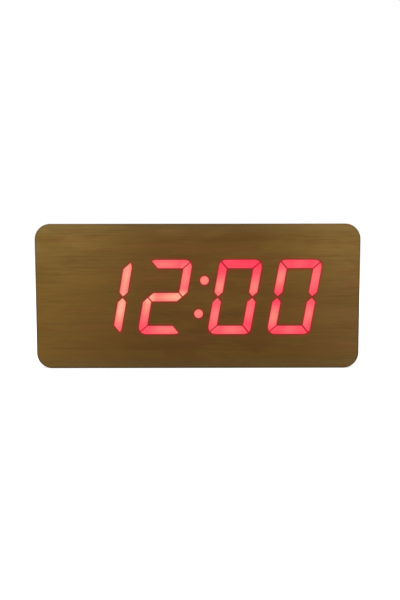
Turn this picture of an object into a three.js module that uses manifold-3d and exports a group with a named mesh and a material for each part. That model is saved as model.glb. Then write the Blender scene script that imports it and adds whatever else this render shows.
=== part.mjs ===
// A wooden LED desk clock. A wood block with a thin skin in front holds four seven-segment figures
// that shine through the skin. A moulded rear cover carries the battery bay, three buttons,
// a sound switch and a power inlet.
// Millimetres. X runs along the width, Y from the front to the rear, Z up.
// The origin is the middle of the base.

import * as THREE from 'three';
import { mergeVertices } from 'three/addons/utils/BufferGeometryUtils.js';
import Module from 'manifold-3d';

const wasm = await Module();
wasm.setup();

// What the display shows
const reading = '12:00';
const litSegments = {
  0: 'abcdef',
  1: 'bc',
  2: 'abdeg',
  3: 'abcdg',
  4: 'bcfg',
  5: 'acdfg',
  6: 'acdefg',
  7: 'abc',
  8: 'abcdefg',
  9: 'abcdfg',
};

// Figures
const digitHeight = 47.7;
const digitWidth = 27.4;
const barThickness = 5.3;
const barWidth = 5.2;
const segmentGap = 0.8;
const figureCornerRadius = 4.4;
const slantDegrees = 10;
const digitSpacing = 10.9;
const colonSpacing = 17.4;
const colonShift = 0.9;
const dotDiameter = 5.6;
const dotRise = 10.7;
const displayShiftX = 1.5;
const displayShiftZ = -0.4;

// Wooden case
const skinThickness = 0.6;
const frontWall = 5;
const edgeRadius = 1;
const caseCornerRadius = 10;
const windowMarginX = 2.4;
const windowMarginZ = 2.15;
const pocketCornerRadius = 16;
const pocketClearance = 1;
const ledgeWidth = 4;
const sideWall = 10.5;
const topWall = 9.1;
const wiringSpace = 16.55;

// Display unit behind the skin
const slotClearance = 0.05;
const windowClearance = 0.2;
const windowCornerRadius = 2;
const maskThickness = 2;
const lensPlateThickness = 1;
const lensPlateMargin = 1;
const unlitSetback = 0.3;
const colonPlateMargin = 1.2;
const flangeBorder = 6;
const flangeThickness = 3;
const wellTaperShare = 0.6;
const boardThickness = 1.6;
const ledLength = 2;
const ledWidth = 1.4;
const ledHeight = 0.8;
const displayScrewSpread = 60;

// Rear cover
const coverThickness = 2;
const coverRecess = 1;
const coverGap = 0.3;
const coverCornerRadius = 8;
const coverEdgeChamfer = 0.4;
const coverScrewInset = 6;
const soundSlotCount = 5;
const soundSlotWidth = 1.6;
const soundSlotLength = 12;
const soundSlotPitch = 3.2;
const micHoleDiameter = 2;
const micTubeWall = 1.4;

// Battery bay and its door
const cellDiameter = 10.5;
const cellLength = 44.5;
const cellSpacing = 0.8;
const cellCount = 4;
const cellNubDiameter = 3.8;
const cellNubHeight = 1.2;
const cellShoulderRadius = 0.6;
const cellClearance = 0.15;
const cellTopGap = 0.2;
const bayFromMiddle = 4;
const bayWall = 2;
const bayFloor = 1.5;
const bayCornerRadius = 1;
const cradleHeight = 3.6;
const doorLedge = 1.3;
const doorThickness = 1.6;
const doorGap = 0.3;
const doorCornerRadius = 1.5;
const tabWidth = 6;
const tabSpread = 17;
const tabThickness = 1;
const tabReach = 1.8;
const tabNeckInset = 0.4;
const tabNeckWidth = 1.4;
const tabSlotGap = 0.5;
const latchWidth = 9;
const latchToCell = 0.2;
const latchThickness = 1.2;
const latchGap = 0.6;
const latchNose = 0.35;
const latchNoseHeight = 0.8;
const gripRibCount = 4;
const gripRibLength = 14;
const gripRibWidth = 0.8;
const gripRibHeight = 0.4;
const gripRibPitch = 1.8;
const gripRibInset = 3;
const scoopRadius = 6;
const scoopDepth = 1;

// Battery contacts, springs and leads
const contactWidth = 9;
const contactThickness = 0.4;
const contactGap = 0.2;
const dimpleHeight = 0.8;
const dimpleBaseDiameter = 4;
const dimpleTopDiameter = 2.6;
const springLength = 6;
const springRadius = 3;
const springWire = 0.6;
const springBend = 0.6;
const springCurls = 3;
const stepsPerCurl = 8;
const wireSides = 5;
const leadDiameter = 1.3;
const leadGap = 0.35;
const leadPadInset = 3.3;
const leadDrop = 10;
const leadSteps = 12;
const leadSides = 8;

// Control board and what stands on it
const boardFromMiddle = 3;
const controlBoardHeight = 44;
const boardCornerRadius = 1;
const tallestGap = 0.6;
const postDiameter = 5;
const postInset = 4;
const controlRowInset = 9;
const buttonToPost = 0.8;
const controlPitch = 12;
const buttonDiameter = 6.8;
const buttonGap = 0.3;
const buttonProud = 0.8;
const buttonEdgeRadius = 0.5;
const buttonFlangeLip = 1;
const buttonFlangeThickness = 1;
const buttonFlangeGap = 0.3;
const buttonStemDiameter = 4;
const buttonTravel = 0.5;
const pushSwitchWidth = 6;
const pushSwitchHeight = 3.5;
const pushSwitchChamfer = 0.5;
const plungerDiameter = 3.4;
const plungerProud = 0.9;
const plungerDepth = 1.6;
const plungerGap = 0.2;
const plungerStemGap = 0.3;
const slideSwitchLength = 9;
const slideSwitchWidth = 4.4;
const slideSwitchHeight = 3.6;
const slideTravel = 2;
const knobWidth = 2.2;
const knobStemWidth = 1.4;
const knobStemDepth = 1.1;
const knobProud = 0.7;
const knobClearance = 0.3;
const knobCornerRadius = 0.3;
const switchRecessMargin = 1.6;
const switchRecessDepth = 0.8;
const jackWidth = 9;
const jackBodyHeight = 5.6;
const jackCollarDiameter = 6.6;
const jackGap = 0.3;
const jackToPost = 1;
const jackRecess = 0.5;
const jackBoreDiameter = 4.2;
const jackPinDiameter = 1.6;
const jackFloor = 1.4;
const jackPinRecess = 0.6;
const buzzerDiameter = 12;
const buzzerHeight = 6.8;
const buzzerPortDiameter = 2;
const buzzerPortDepth = 1.5;
const buzzerFromLeft = 25;
const soundRowInset = 12;
const micDiameter = 6;
const micHeight = 5;
const micPortDiameter = 2;
const micPortDepth = 0.5;
const micGap = 0.4;
const micFromRight = 21;
const capacitorDiameter = 5;
const capacitorHeight = 6.4;
const capacitorFromLeft = 12;
const capacitorDrop = 2;
const chipEdgeChamfer = 0.4;
const controlChipWidth = 12;
const controlChipHeight = 1.6;
const controlChipFromRight = 44;
const crystalDiameter = 3;
const crystalLength = 8;
const crystalDrop = 12;
const driverChipWidth = 18;
const driverChipDepth = 8;
const driverChipHeight = 2.4;
const driverChipFromMiddle = 36;
const headerEndWall = 0.8;
const headerWidth = 5;
const headerHeight = 3;
const ribbonWidth = 12;
const ribbonThickness = 0.6;
const ribbonGap = 0.2;
const ribbonSteps = 12;
const ribbonHandle = 8;
const ribbonFromRight = 17;
const displayHeaderDrop = 14;
const controlHeaderRise = 13;

// Screws
const screwDiameter = 2.6;
const screwHeadDiameter = 5;
const screwHeadHeight = 1.4;
const screwTipLength = 1.2;
const screwHoleGap = 0.3;
const pilotGap = 0.1;
const coverScrewLength = 12;
const displayScrewBite = 3.4;
const boardScrewBite = 4.4;
const crossWidth = 0.8;
const crossLength = 2.8;
const crossDepth = 0.8;
const counterboreGap = 0.3;
const counterboreDepth = 1;

// How finely round forms are cut into flats, and how far a cut runs past a face
const caseCornerSteps = 8;
const arcSteps = 4;
const smallArcSteps = 2;
const figureCornerSteps = 6;
const edgeSteps = 3;
const roundSides = 20;
const smallSides = 12;
const screwSides = 8;
const cutOverrun = 1;
const pointTolerance = 0.01;

// Sizes that follow from those above
const cellPitch = cellDiameter + cellSpacing;
const displayScrewLength = boardThickness + flangeThickness + displayScrewBite;
const boardScrewLength = boardThickness + boardScrewBite;
const buttonHoleDiameter = buttonDiameter + 2 * buttonGap;
const buttonFlangeDiameter = buttonHoleDiameter + 2 * buttonFlangeLip;
const jackHoleDiameter = jackCollarDiameter + 2 * jackGap;
const leadHoleDiameter = leadDiameter + 2 * leadGap;
const headerLength = ribbonWidth + 2 * (ribbonGap + headerEndWall);
const boardToCover = Math.max(buzzerHeight, capacitorHeight, jackBodyHeight) + tallestGap;
const micTubeLength = boardToCover - micHeight - micGap;
const lean = THREE.MathUtils.degToRad(slantDegrees);
const slant = Math.tan(lean);
const digitPitch = digitWidth + digitSpacing;
const middlePitch = digitWidth + colonSpacing;
const figuresWidth = 2 * digitPitch + middlePitch + digitWidth + slant * digitHeight;
const windowWidth = figuresWidth + 2 * (windowMarginX + Math.abs(displayShiftX));
const windowHeight = digitHeight + 2 * (windowMarginZ + Math.abs(displayShiftZ));
const flangeWidth = windowWidth + 2 * flangeBorder;
const flangeHeight = windowHeight + 2 * flangeBorder;
const pocketWidth = flangeWidth + 2 * pocketClearance;
const pocketHeight = flangeHeight + 2 * pocketClearance;
const rebateWidth = pocketWidth + 2 * ledgeWidth;
const rebateHeight = pocketHeight + 2 * ledgeWidth;
const caseWidth = rebateWidth + 2 * sideWall;
const caseHeight = rebateHeight + 2 * topWall;
const bayDepth = doorThickness + doorGap + cellTopGap + cellDiameter + cellClearance + bayFloor;
const displayDepth = skinThickness + frontWall + flangeThickness + boardThickness;
const caseDepth = displayDepth + wiringSpace + bayDepth + coverRecess;
const middleZ = caseHeight / 2;
const displayZ = middleZ + displayShiftZ;

// Places along Y, from the front to the rear
const frontY = -caseDepth / 2;
const skinBackY = frontY + skinThickness;
const wallBackY = skinBackY + frontWall;
const maskBackY = skinBackY + maskThickness;
const lensBackY = maskBackY + lensPlateThickness;
const reflectorBackY = wallBackY + flangeThickness;
const displayBoardBackY = reflectorBackY + boardThickness;
const caseBackY = caseDepth / 2;
const coverOutY = caseBackY - coverRecess;
const coverInY = coverOutY - coverThickness;
const doorInY = coverOutY - doorThickness;
const bayRimY = doorInY - doorGap;
const cellY = bayRimY - cellTopGap - cellDiameter / 2;
const bayFloorY = cellY - cellDiameter / 2 - cellClearance;
const bayOutY = bayFloorY - bayFloor;
const controlRearY = coverInY - boardToCover;
const controlFrontY = controlRearY - boardThickness;
const coverScrewSeatY = coverOutY - counterboreDepth;

// Places of the battery bay
const bayLength = cellLength + dimpleHeight + springLength + 2 * contactGap;
const bayHeight = cellCount * cellPitch;
const bayLeftX = bayFromMiddle + bayWall;
const bayRightX = bayLeftX + bayLength;
const bayMiddleX = (bayLeftX + bayRightX) / 2;
const doorWidth = bayLength + 2 * (doorLedge - doorGap);
const doorHeight = bayHeight + 2 * (doorLedge - doorGap);
const doorLowZ = middleZ - doorHeight / 2;
const doorHighZ = middleZ + doorHeight / 2;

// Places of the control board, which is as long as its row of controls
const buttonNames = ['set', 'up', 'down'];
const postReach = postInset + postDiameter / 2;
const firstButtonInset = postReach + buttonToPost + buttonFlangeDiameter / 2;
const jackInset = postReach + jackToPost + jackWidth / 2;
const controlBoardWidth = firstButtonInset + (buttonNames.length + 1) * controlPitch + jackInset;
const boardRightX = -boardFromMiddle;
const boardLeftX = boardRightX - controlBoardWidth;
const boardMiddleX = (boardRightX + boardLeftX) / 2;
const boardTopZ = middleZ + controlBoardHeight / 2;
const boardLowZ = middleZ - controlBoardHeight / 2;
const controlRowZ = boardTopZ - controlRowInset;
const soundRowZ = boardLowZ + soundRowInset;
const buttonX = buttonNames.map((name, index) => boardRightX - firstButtonInset - index * controlPitch);
const slideSwitchX = boardRightX - firstButtonInset - buttonNames.length * controlPitch;
const jackX = slideSwitchX - controlPitch;
const buzzerX = boardLeftX + buzzerFromLeft;
const micX = boardRightX - micFromRight;
const ribbonX = boardRightX - ribbonFromRight;
const plungerTopY = controlRearY + pushSwitchHeight + plungerProud;

// Solids

function solidFrom(geometry) {
  const bare = geometry.clone();
  bare.deleteAttribute('normal');
  bare.deleteAttribute('uv');
  const merged = mergeVertices(bare);
  const vertProperties = new Float32Array(merged.attributes.position.array);
  const triVerts = new Uint32Array(merged.index.array);
  return new wasm.Manifold(new wasm.Mesh({ numProp: 3, vertProperties, triVerts }));
}

function join(first, ...others) {
  return others.reduce((whole, piece) => whole.add(piece), first);
}

function cut(whole, ...tools) {
  return tools.reduce((rest, tool) => rest.subtract(tool), whole);
}

// A flat outline in X and Z, drawn out along Y.
function slab(shape, yFront, yBack, curveSegments = smallArcSteps) {
  const geometry = new THREE.ExtrudeGeometry(shape, {
    depth: yBack - yFront,
    bevelEnabled: false,
    curveSegments,
  });
  geometry.rotateX(Math.PI / 2);
  geometry.translate(0, yBack, 0);
  return solidFrom(geometry);
}

// The same with its front and rear edges rounded, or chamfered when it has one edge step.
function softSlab(shape, yFront, yBack, radius, bevelSegments, curveSegments) {
  const geometry = new THREE.ExtrudeGeometry(shape, {
    depth: yBack - yFront - 2 * radius,
    bevelThickness: radius,
    bevelSize: radius,
    bevelOffset: -radius,
    bevelSegments,
    curveSegments,
  });
  geometry.rotateX(Math.PI / 2);
  geometry.translate(0, yBack - radius, 0);
  return solidFrom(geometry);
}

function block(xLow, xHigh, yLow, yHigh, zLow, zHigh) {
  const geometry = new THREE.BoxGeometry(xHigh - xLow, yHigh - yLow, zHigh - zLow);
  geometry.translate((xLow + xHigh) / 2, (yLow + yHigh) / 2, (zLow + zHigh) / 2);
  return solidFrom(geometry);
}

function rod(x, z, diameter, yFront, yBack, sides = roundSides) {
  const geometry = new THREE.CylinderGeometry(diameter / 2, diameter / 2, yBack - yFront, sides);
  geometry.translate(x, (yFront + yBack) / 2, z);
  return solidFrom(geometry);
}

// A profile of [radius, y] points turned about a line along Y. It starts and ends on the axis.
function turned(profile, x, z, sides = roundSides) {
  const points = profile.map(([radius, y]) => new THREE.Vector2(radius, y));
  const geometry = new THREE.LatheGeometry(points, sides);
  geometry.translate(x, 0, z);
  return solidFrom(geometry);
}

// Two outlines with as many points, joined by a wall that tapers from one to the other.
function tapered(frontOutline, backOutline, yFront, yBack) {
  const count = frontOutline.length;
  const front = frontOutline.map(([x, z]) => [x, yFront, z]);
  const back = backOutline.map(([x, z]) => [x, yBack, z]);
  const contour = frontOutline.map(([x, z]) => new THREE.Vector2(x, z));
  const faces = THREE.ShapeUtils.triangulateShape(contour, []);
  const index = [];
  for (const [a, b, c] of faces) {
    index.push(a, b, c);
    index.push(count + a, count + c, count + b);
  }
  for (let here = 0; here < count; here += 1) {
    const next = (here + 1) % count;
    index.push(here, count + here, next);
    index.push(next, count + here, count + next);
  }
  const geometry = new THREE.BufferGeometry();
  geometry.setAttribute('position', new THREE.Float32BufferAttribute([...front, ...back].flat(), 3));
  geometry.setIndex(index);
  return solidFrom(geometry);
}

function roundedShape(width, height, radius, x = 0, z = middleZ) {
  const shape = new THREE.Shape();
  const right = x + width / 2 - radius;
  const left = x - width / 2 + radius;
  const top = z + height / 2 - radius;
  const low = z - height / 2 + radius;
  shape.absarc(right, top, radius, 0, Math.PI / 2);
  shape.absarc(left, top, radius, Math.PI / 2, Math.PI);
  shape.absarc(left, low, radius, Math.PI, 1.5 * Math.PI);
  shape.absarc(right, low, radius, 1.5 * Math.PI, 2 * Math.PI);
  shape.closePath();
  return shape;
}

function shapeFrom(outline) {
  return new THREE.Shape(outline.map(([x, z]) => new THREE.Vector2(x, z)));
}

// Figures: each segment is the rounded outline of the figure, cut down by straight lines.
// A cut passes through the point "at", faces "out", and lies "back" from that point.

const reachX = (digitWidth - barWidth) / 2;
const reachZ = (digitHeight - barThickness) / 2;
const halfGap = segmentGap / 2;

const topCuts = [
  { at: [0, digitHeight / 2 - barThickness], out: [0, -1], back: 0 },
  { at: [reachX, reachZ], out: [1, -1], back: halfGap },
  { at: [-reachX, reachZ], out: [-1, -1], back: halfGap },
];
const upperRightCuts = [
  { at: [digitWidth / 2 - barWidth, 0], out: [-1, 0], back: 0 },
  { at: [reachX, reachZ], out: [-1, 1], back: halfGap },
  { at: [reachX, 0], out: [1, -1], back: halfGap },
  { at: [reachX, 0], out: [-1, -1], back: halfGap },
];
const middleTopCuts = [
  { at: [0, barThickness / 2], out: [0, 1], back: 0 },
  { at: [reachX, 0], out: [1, 1], back: halfGap },
  { at: [-reachX, 0], out: [-1, 1], back: halfGap },
];

function mirrored(cuts, signX, signZ) {
  return cuts.map(({ at, out, back }) => ({
    at: [at[0] * signX, at[1] * signZ],
    out: [out[0] * signX, out[1] * signZ],
    back,
  }));
}

const segmentCuts = {
  a: topCuts,
  b: upperRightCuts,
  c: mirrored(upperRightCuts, 1, -1),
  d: mirrored(topCuts, 1, -1),
  e: mirrored(upperRightCuts, -1, -1),
  f: mirrored(upperRightCuts, -1, 1),
  g: [...middleTopCuts, ...mirrored(middleTopCuts, 1, -1)],
};

// Keeps the part of a convex outline that lies behind a line.
function behindLine(outline, at, out, distance) {
  const length = Math.hypot(...out);
  const height = ([x, z]) => ((x - at[0]) * out[0] + (z - at[1]) * out[1]) / length - distance;
  const kept = [];
  outline.forEach((point, index) => {
    const next = outline[(index + 1) % outline.length];
    const here = height(point);
    const there = height(next);
    if (here <= 0) {
      kept.push(point);
    }
    if (here * there < 0) {
      const share = here / (here - there);
      kept.push([point[0] + share * (next[0] - point[0]), point[1] + share * (next[1] - point[1])]);
    }
  });
  return kept;
}

function withoutRepeats(outline) {
  return outline.filter((point, index) => {
    const next = outline[(index + 1) % outline.length];
    return Math.hypot(next[0] - point[0], next[1] - point[1]) > pointTolerance;
  });
}

// The outline of a whole figure, round at its corners once it leans, as points from before it leans.
function figureOutline(grow) {
  const radius = figureCornerRadius + grow;
  const centreX = digitWidth / 2 + grow - radius / Math.cos(lean);
  const centreZ = digitHeight / 2 + grow - radius;
  const corners = [
    { x: centreX, z: centreZ, from: -lean, to: Math.PI / 2 },
    { x: -centreX, z: centreZ, from: Math.PI / 2, to: Math.PI - lean },
    { x: -centreX, z: -centreZ, from: Math.PI - lean, to: 1.5 * Math.PI },
    { x: centreX, z: -centreZ, from: 1.5 * Math.PI, to: 2 * Math.PI - lean },
  ];
  return corners.flatMap(({ x, z, from, to }) =>
    Array.from({ length: figureCornerSteps + 1 }, (unused, step) => {
      const angle = from + ((to - from) * step) / figureCornerSteps;
      return [x + radius * (Math.cos(angle) - slant * Math.sin(angle)), z + radius * Math.sin(angle)];
    }),
  );
}

function segmentOutline(letter, digitX, grow = 0) {
  let outline = figureOutline(grow);
  for (const { at, out, back } of segmentCuts[letter]) {
    outline = behindLine(outline, at, out, grow - back);
  }
  return withoutRepeats(outline).map(([x, z]) => [digitX + x + slant * z, displayZ + z]);
}

function dotOutline(side, grow = 0) {
  const radius = dotDiameter / 2 + grow;
  const centreX = displayShiftX + colonShift + side * slant * dotRise;
  const centreZ = displayZ + side * dotRise;
  return Array.from({ length: roundSides }, (unused, index) => {
    const angle = (2 * Math.PI * index) / roundSides;
    return [centreX + radius * Math.cos(angle), centreZ + radius * Math.sin(angle)];
  });
}

const digitValues = reading.replace(':', '').split('');
const digitX = [-middlePitch / 2 - digitPitch, -middlePitch / 2, middlePitch / 2, middlePitch / 2 + digitPitch]
  .map((x) => x + displayShiftX);
const letters = Object.keys(segmentCuts);
const dotSides = [1, -1];

// All thirty cells of the display, each with the outline that "grow" widens.
function displayCells(grow) {
  const segments = digitX.flatMap((x) => letters.map((letter) => segmentOutline(letter, x, grow)));
  return [...segments, ...dotSides.map((side) => dotOutline(side, grow))];
}

function litCells(grow) {
  const segments = digitX.flatMap((x, index) => {
    const lit = [...litSegments[digitValues[index]]];
    return lit.map((letter) => segmentOutline(letter, x, grow));
  });
  return [...segments, ...dotSides.map((side) => dotOutline(side, grow))];
}

// Screws

function screwHole(x, z, gap, yFront, yBack) {
  return rod(x, z, screwDiameter + 2 * gap, yFront, yBack, screwSides);
}

// A pan head screw. "Seat" is the Y of the face under its head, and "facing" the side of the head.
function screw(x, z, seat, facing, length) {
  const shank = screwDiameter / 2;
  const head = screwHeadDiameter / 2;
  const profile = [
    [0, -length],
    [shank, screwTipLength - length],
    [shank, 0],
    [head, 0],
    [head, screwHeadHeight / 2],
    [head / 2, screwHeadHeight],
    [0, screwHeadHeight],
  ];
  const ordered = facing > 0 ? profile : profile.toReversed();
  const body = turned(ordered.map(([radius, y]) => [radius, seat + facing * y]), x, z, screwSides);
  const top = seat + facing * screwHeadHeight;
  const low = Math.min(top - facing * crossDepth, top + facing * cutOverrun);
  const high = Math.max(top - facing * crossDepth, top + facing * cutOverrun);
  const long = crossLength / 2;
  const narrow = crossWidth / 2;
  return cut(
    body,
    block(x - long, x + long, low, high, z - narrow, z + narrow),
    block(x - narrow, x + narrow, low, high, z - long, z + long),
  );
}

const displayScrewPlaces = [-1, 1].flatMap((sideX) => [-1, 1].map((sideZ) => [
  sideX * displayScrewSpread,
  middleZ + (sideZ * (windowHeight + flangeBorder)) / 2,
]));
const coverScrewPlaces = [-1, 1].flatMap((sideX) => [-1, 1].map((sideZ) => [
  sideX * (rebateWidth / 2 - coverScrewInset),
  middleZ + sideZ * (rebateHeight / 2 - coverScrewInset),
]));
const postPlaces = [boardLeftX + postInset, boardRightX - postInset]
  .flatMap((x) => [boardLowZ + postInset, boardTopZ - postInset].map((z) => [x, z]));
const boardScrewPlaces = postPlaces.filter(([, z]) => z < middleZ);

// Wooden case and its skin

// Straight slots through a plate, one for each outline.
function slotsThrough(outlines, yFront, yBack) {
  return outlines.map((outline) => slab(shapeFrom(outline), yFront - cutOverrun, yBack + cutOverrun));
}

function wholeBlock() {
  const outline = roundedShape(caseWidth, caseHeight, caseCornerRadius);
  return softSlab(outline, frontY, caseBackY, edgeRadius, edgeSteps, caseCornerSteps);
}

function frontSkin() {
  const front = block(-caseWidth, caseWidth, frontY - cutOverrun, skinBackY, -cutOverrun, 2 * caseHeight);
  return cut(wholeBlock().intersect(front), ...slotsThrough(litCells(slotClearance), frontY, skinBackY));
}

function woodenCase() {
  const front = block(-caseWidth, caseWidth, frontY - cutOverrun, skinBackY, -cutOverrun, 2 * caseHeight);
  const window = roundedShape(windowWidth, windowHeight, windowCornerRadius);
  const pocket = roundedShape(pocketWidth, pocketHeight, pocketCornerRadius);
  const rebate = roundedShape(rebateWidth, rebateHeight, coverCornerRadius + coverGap);
  const displayPilots = displayScrewPlaces.map(([x, z]) => (
    screwHole(x, z, pilotGap, displayBoardBackY - displayScrewLength - pilotGap, wallBackY + cutOverrun)
  ));
  const coverPilots = coverScrewPlaces.map(([x, z]) => (
    screwHole(x, z, pilotGap, coverScrewSeatY - coverScrewLength - pilotGap, coverInY + cutOverrun)
  ));
  return cut(
    wholeBlock(),
    front,
    slab(window, frontY, wallBackY + cutOverrun),
    slab(pocket, wallBackY, caseBackY, arcSteps),
    slab(rebate, coverInY, caseBackY + cutOverrun, arcSteps),
    ...displayPilots,
    ...coverPilots,
  );
}

// Display unit

function segmentMask() {
  const outline = roundedShape(
    windowWidth - 2 * windowClearance,
    windowHeight - 2 * windowClearance,
    windowCornerRadius,
  );
  const slots = slotsThrough(displayCells(slotClearance), skinBackY, maskBackY);
  return cut(slab(outline, skinBackY, maskBackY), ...slots);
}

// A slanted plate centred on a figure.
function lensPlate(centreX, width, height) {
  const corners = [[-1, -1], [1, -1], [1, 1], [-1, 1]];
  const outline = corners.map(([sideX, sideZ]) => [
    centreX + (sideX * width) / 2 + (slant * sideZ * height) / 2,
    displayZ + (sideZ * height) / 2,
  ]);
  return slab(shapeFrom(outline), maskBackY, lensBackY);
}

// A land that rises from the plate: lit ones reach the front of the skin, others stop behind it.
function lensLand(outline, isLit) {
  const yFront = isLit ? frontY : skinBackY + unlitSetback;
  return slab(shapeFrom(outline), yFront, maskBackY + lensPlateThickness / 2);
}

function digitLens(index) {
  const lit = litSegments[digitValues[index]];
  const lands = letters.map((letter) => (
    lensLand(segmentOutline(letter, digitX[index]), lit.includes(letter))
  ));
  const width = digitWidth + 2 * lensPlateMargin;
  return join(lensPlate(digitX[index], width, digitHeight + 2 * lensPlateMargin), ...lands);
}

function colonLens() {
  const lands = dotSides.map((side) => lensLand(dotOutline(side), true));
  const width = dotDiameter + 2 * colonPlateMargin;
  const height = 2 * dotRise + dotDiameter + 2 * colonPlateMargin;
  return join(lensPlate(displayShiftX + colonShift, width, height), ...lands);
}

// The middle of the area inside an outline.
function middleOf(outline) {
  let [doubleArea, momentX, momentZ] = [0, 0, 0];
  outline.forEach(([x, z], index) => {
    const [nextX, nextZ] = outline[(index + 1) % outline.length];
    const share = x * nextZ - nextX * z;
    doubleArea += share;
    momentX += share * (x + nextX);
    momentZ += share * (z + nextZ);
  });
  return [momentX / (3 * doubleArea), momentZ / (3 * doubleArea)];
}

function drawnIn(outline, share) {
  const [middleX, middle] = middleOf(outline);
  return outline.map(([x, z]) => [middleX + share * (x - middleX), middle + share * (z - middle)]);
}

// A light well that narrows from its segment to its LED, run past both faces at the same taper.
function lightWell(outline) {
  const depth = reflectorBackY - lensBackY;
  const past = ((1 - wellTaperShare) * cutOverrun) / depth;
  return tapered(
    drawnIn(outline, 1 + past),
    drawnIn(outline, wellTaperShare - past),
    lensBackY - cutOverrun,
    reflectorBackY + cutOverrun,
  );
}

function displayReflector() {
  const body = roundedShape(
    windowWidth - 2 * windowClearance,
    windowHeight - 2 * windowClearance,
    windowCornerRadius,
  );
  const flange = roundedShape(flangeWidth, flangeHeight, pocketCornerRadius - pocketClearance);
  const holes = displayScrewPlaces.map(([x, z]) => (
    screwHole(x, z, screwHoleGap, wallBackY - cutOverrun, reflectorBackY + cutOverrun)
  ));
  const whole = join(slab(body, lensBackY, reflectorBackY), slab(flange, wallBackY, reflectorBackY, arcSteps));
  return cut(whole, ...displayCells(0).map(lightWell), ...holes);
}

function displayBoard() {
  const outline = roundedShape(flangeWidth, flangeHeight, pocketCornerRadius - pocketClearance);
  const holes = displayScrewPlaces.map(([x, z]) => (
    screwHole(x, z, screwHoleGap, reflectorBackY - cutOverrun, displayBoardBackY + cutOverrun)
  ));
  const leds = displayCells(0).map((cell) => {
    const [x, z] = middleOf(cell);
    const yFront = reflectorBackY - ledHeight;
    const yBack = reflectorBackY + boardThickness / 2;
    return block(x - ledLength / 2, x + ledLength / 2, yFront, yBack, z - ledWidth / 2, z + ledWidth / 2);
  });
  return cut(join(slab(outline, reflectorBackY, displayBoardBackY, arcSteps), ...leds), ...holes);
}

// A chip body with its outer edges chamfered, standing on a face and rising to "facing".
function chip(x, z, width, height, faceY, facing, thickness) {
  const shape = roundedShape(width, height, chipEdgeChamfer, x, z);
  const far = faceY + facing * thickness;
  return softSlab(shape, Math.min(faceY, far), Math.max(faceY, far), chipEdgeChamfer, 1, 1);
}

const displayHeaderZ = middleZ - displayHeaderDrop;
const controlHeaderZ = middleZ + controlHeaderRise;

// A connector: a box with a slot in its outer face for the ribbon's end.
function header(z, faceY, facing) {
  const far = faceY + facing * headerHeight;
  const half = headerLength / 2;
  const body = block(
    ribbonX - half,
    ribbonX + half,
    Math.min(faceY, far),
    Math.max(faceY, far),
    z - headerWidth / 2,
    z + headerWidth / 2,
  );
  const slotDeep = faceY + (facing * headerHeight) / 2;
  const slotOut = far + facing * cutOverrun;
  const slotHalf = ribbonWidth / 2 + ribbonGap;
  const slot = block(
    ribbonX - slotHalf,
    ribbonX + slotHalf,
    Math.min(slotDeep, slotOut),
    Math.max(slotDeep, slotOut),
    z - ribbonThickness / 2 - ribbonGap,
    z + ribbonThickness / 2 + ribbonGap,
  );
  return cut(body, slot);
}

// A flat cable that leaves both connectors straight along Y and curves up between them.
function ribbonCable() {
  const startY = displayBoardBackY + headerHeight / 2 + ribbonGap;
  const endY = controlFrontY - headerHeight / 2 - ribbonGap;
  const bendY = displayBoardBackY + headerHeight;
  const straightY = controlFrontY - headerHeight;
  const curve = new THREE.CubicBezierCurve(
    new THREE.Vector2(bendY, displayHeaderZ),
    new THREE.Vector2(bendY + ribbonHandle, displayHeaderZ),
    new THREE.Vector2(straightY - ribbonHandle, controlHeaderZ),
    new THREE.Vector2(straightY, controlHeaderZ),
  );
  const sides = [1, -1].map((side) => {
    const offset = (side * ribbonThickness) / 2;
    const bent = Array.from({ length: ribbonSteps + 1 }, (unused, index) => {
      const point = curve.getPoint(index / ribbonSteps);
      const along = curve.getTangent(index / ribbonSteps);
      return new THREE.Vector2(point.x - along.y * offset, point.y + along.x * offset);
    });
    return [
      new THREE.Vector2(startY, displayHeaderZ + offset),
      ...bent,
      new THREE.Vector2(endY, controlHeaderZ + offset),
    ];
  });
  const shape = new THREE.Shape([...sides[0].toReversed(), ...sides[1]]);
  const geometry = new THREE.ExtrudeGeometry(shape, { depth: ribbonWidth, bevelEnabled: false });
  geometry.applyMatrix4(new THREE.Matrix4().set(
    0, 0, 1, ribbonX - ribbonWidth / 2,
    1, 0, 0, 0,
    0, 1, 0, 0,
    0, 0, 0, 1,
  ));
  return solidFrom(geometry);
}

// Rear cover with its battery bay

function cellZ(index) {
  return middleZ + ((cellCount - 1) / 2 - index) * cellPitch;
}

function rodAlongX(xLow, xHigh, y, z, diameter, sides = roundSides) {
  const geometry = new THREE.CylinderGeometry(diameter / 2, diameter / 2, xHigh - xLow, sides);
  geometry.rotateZ(Math.PI / 2);
  geometry.translate((xLow + xHigh) / 2, y, z);
  return solidFrom(geometry);
}

// Contact plates in the order of the circuit. "Side" is -1 on the left end wall and 1 on the right.
const contacts = [
  { name: 'contact_positive', side: -1, cells: [0] },
  { name: 'contact_link_1', side: 1, cells: [0, 1] },
  { name: 'contact_link_2', side: -1, cells: [1, 2] },
  { name: 'contact_link_3', side: 1, cells: [2, 3] },
  { name: 'contact_negative', side: -1, cells: [3] },
];

function nubSide(index) {
  return index % 2 === 0 ? -1 : 1;
}

function endWallX(side) {
  return side < 0 ? bayLeftX : bayRightX;
}

// A box on the end wall round the middle of a contact, from one depth in the wall to another, with
// "gap" round it.
function contactBox(contact, gap, from, to) {
  const zs = contact.cells.map(cellZ);
  const ends = [from, to].map((depth) => endWallX(contact.side) + contact.side * depth);
  const reach = contactWidth / 2 + gap;
  return block(
    Math.min(...ends),
    Math.max(...ends),
    cellY - reach,
    cellY + reach,
    Math.min(...zs) - reach,
    Math.max(...zs) + reach,
  );
}

// The recess of a contact plate is open to the bay.
function contactRecess(contact) {
  return contactBox(contact, contactGap, -cutOverrun, contactThickness);
}

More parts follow.
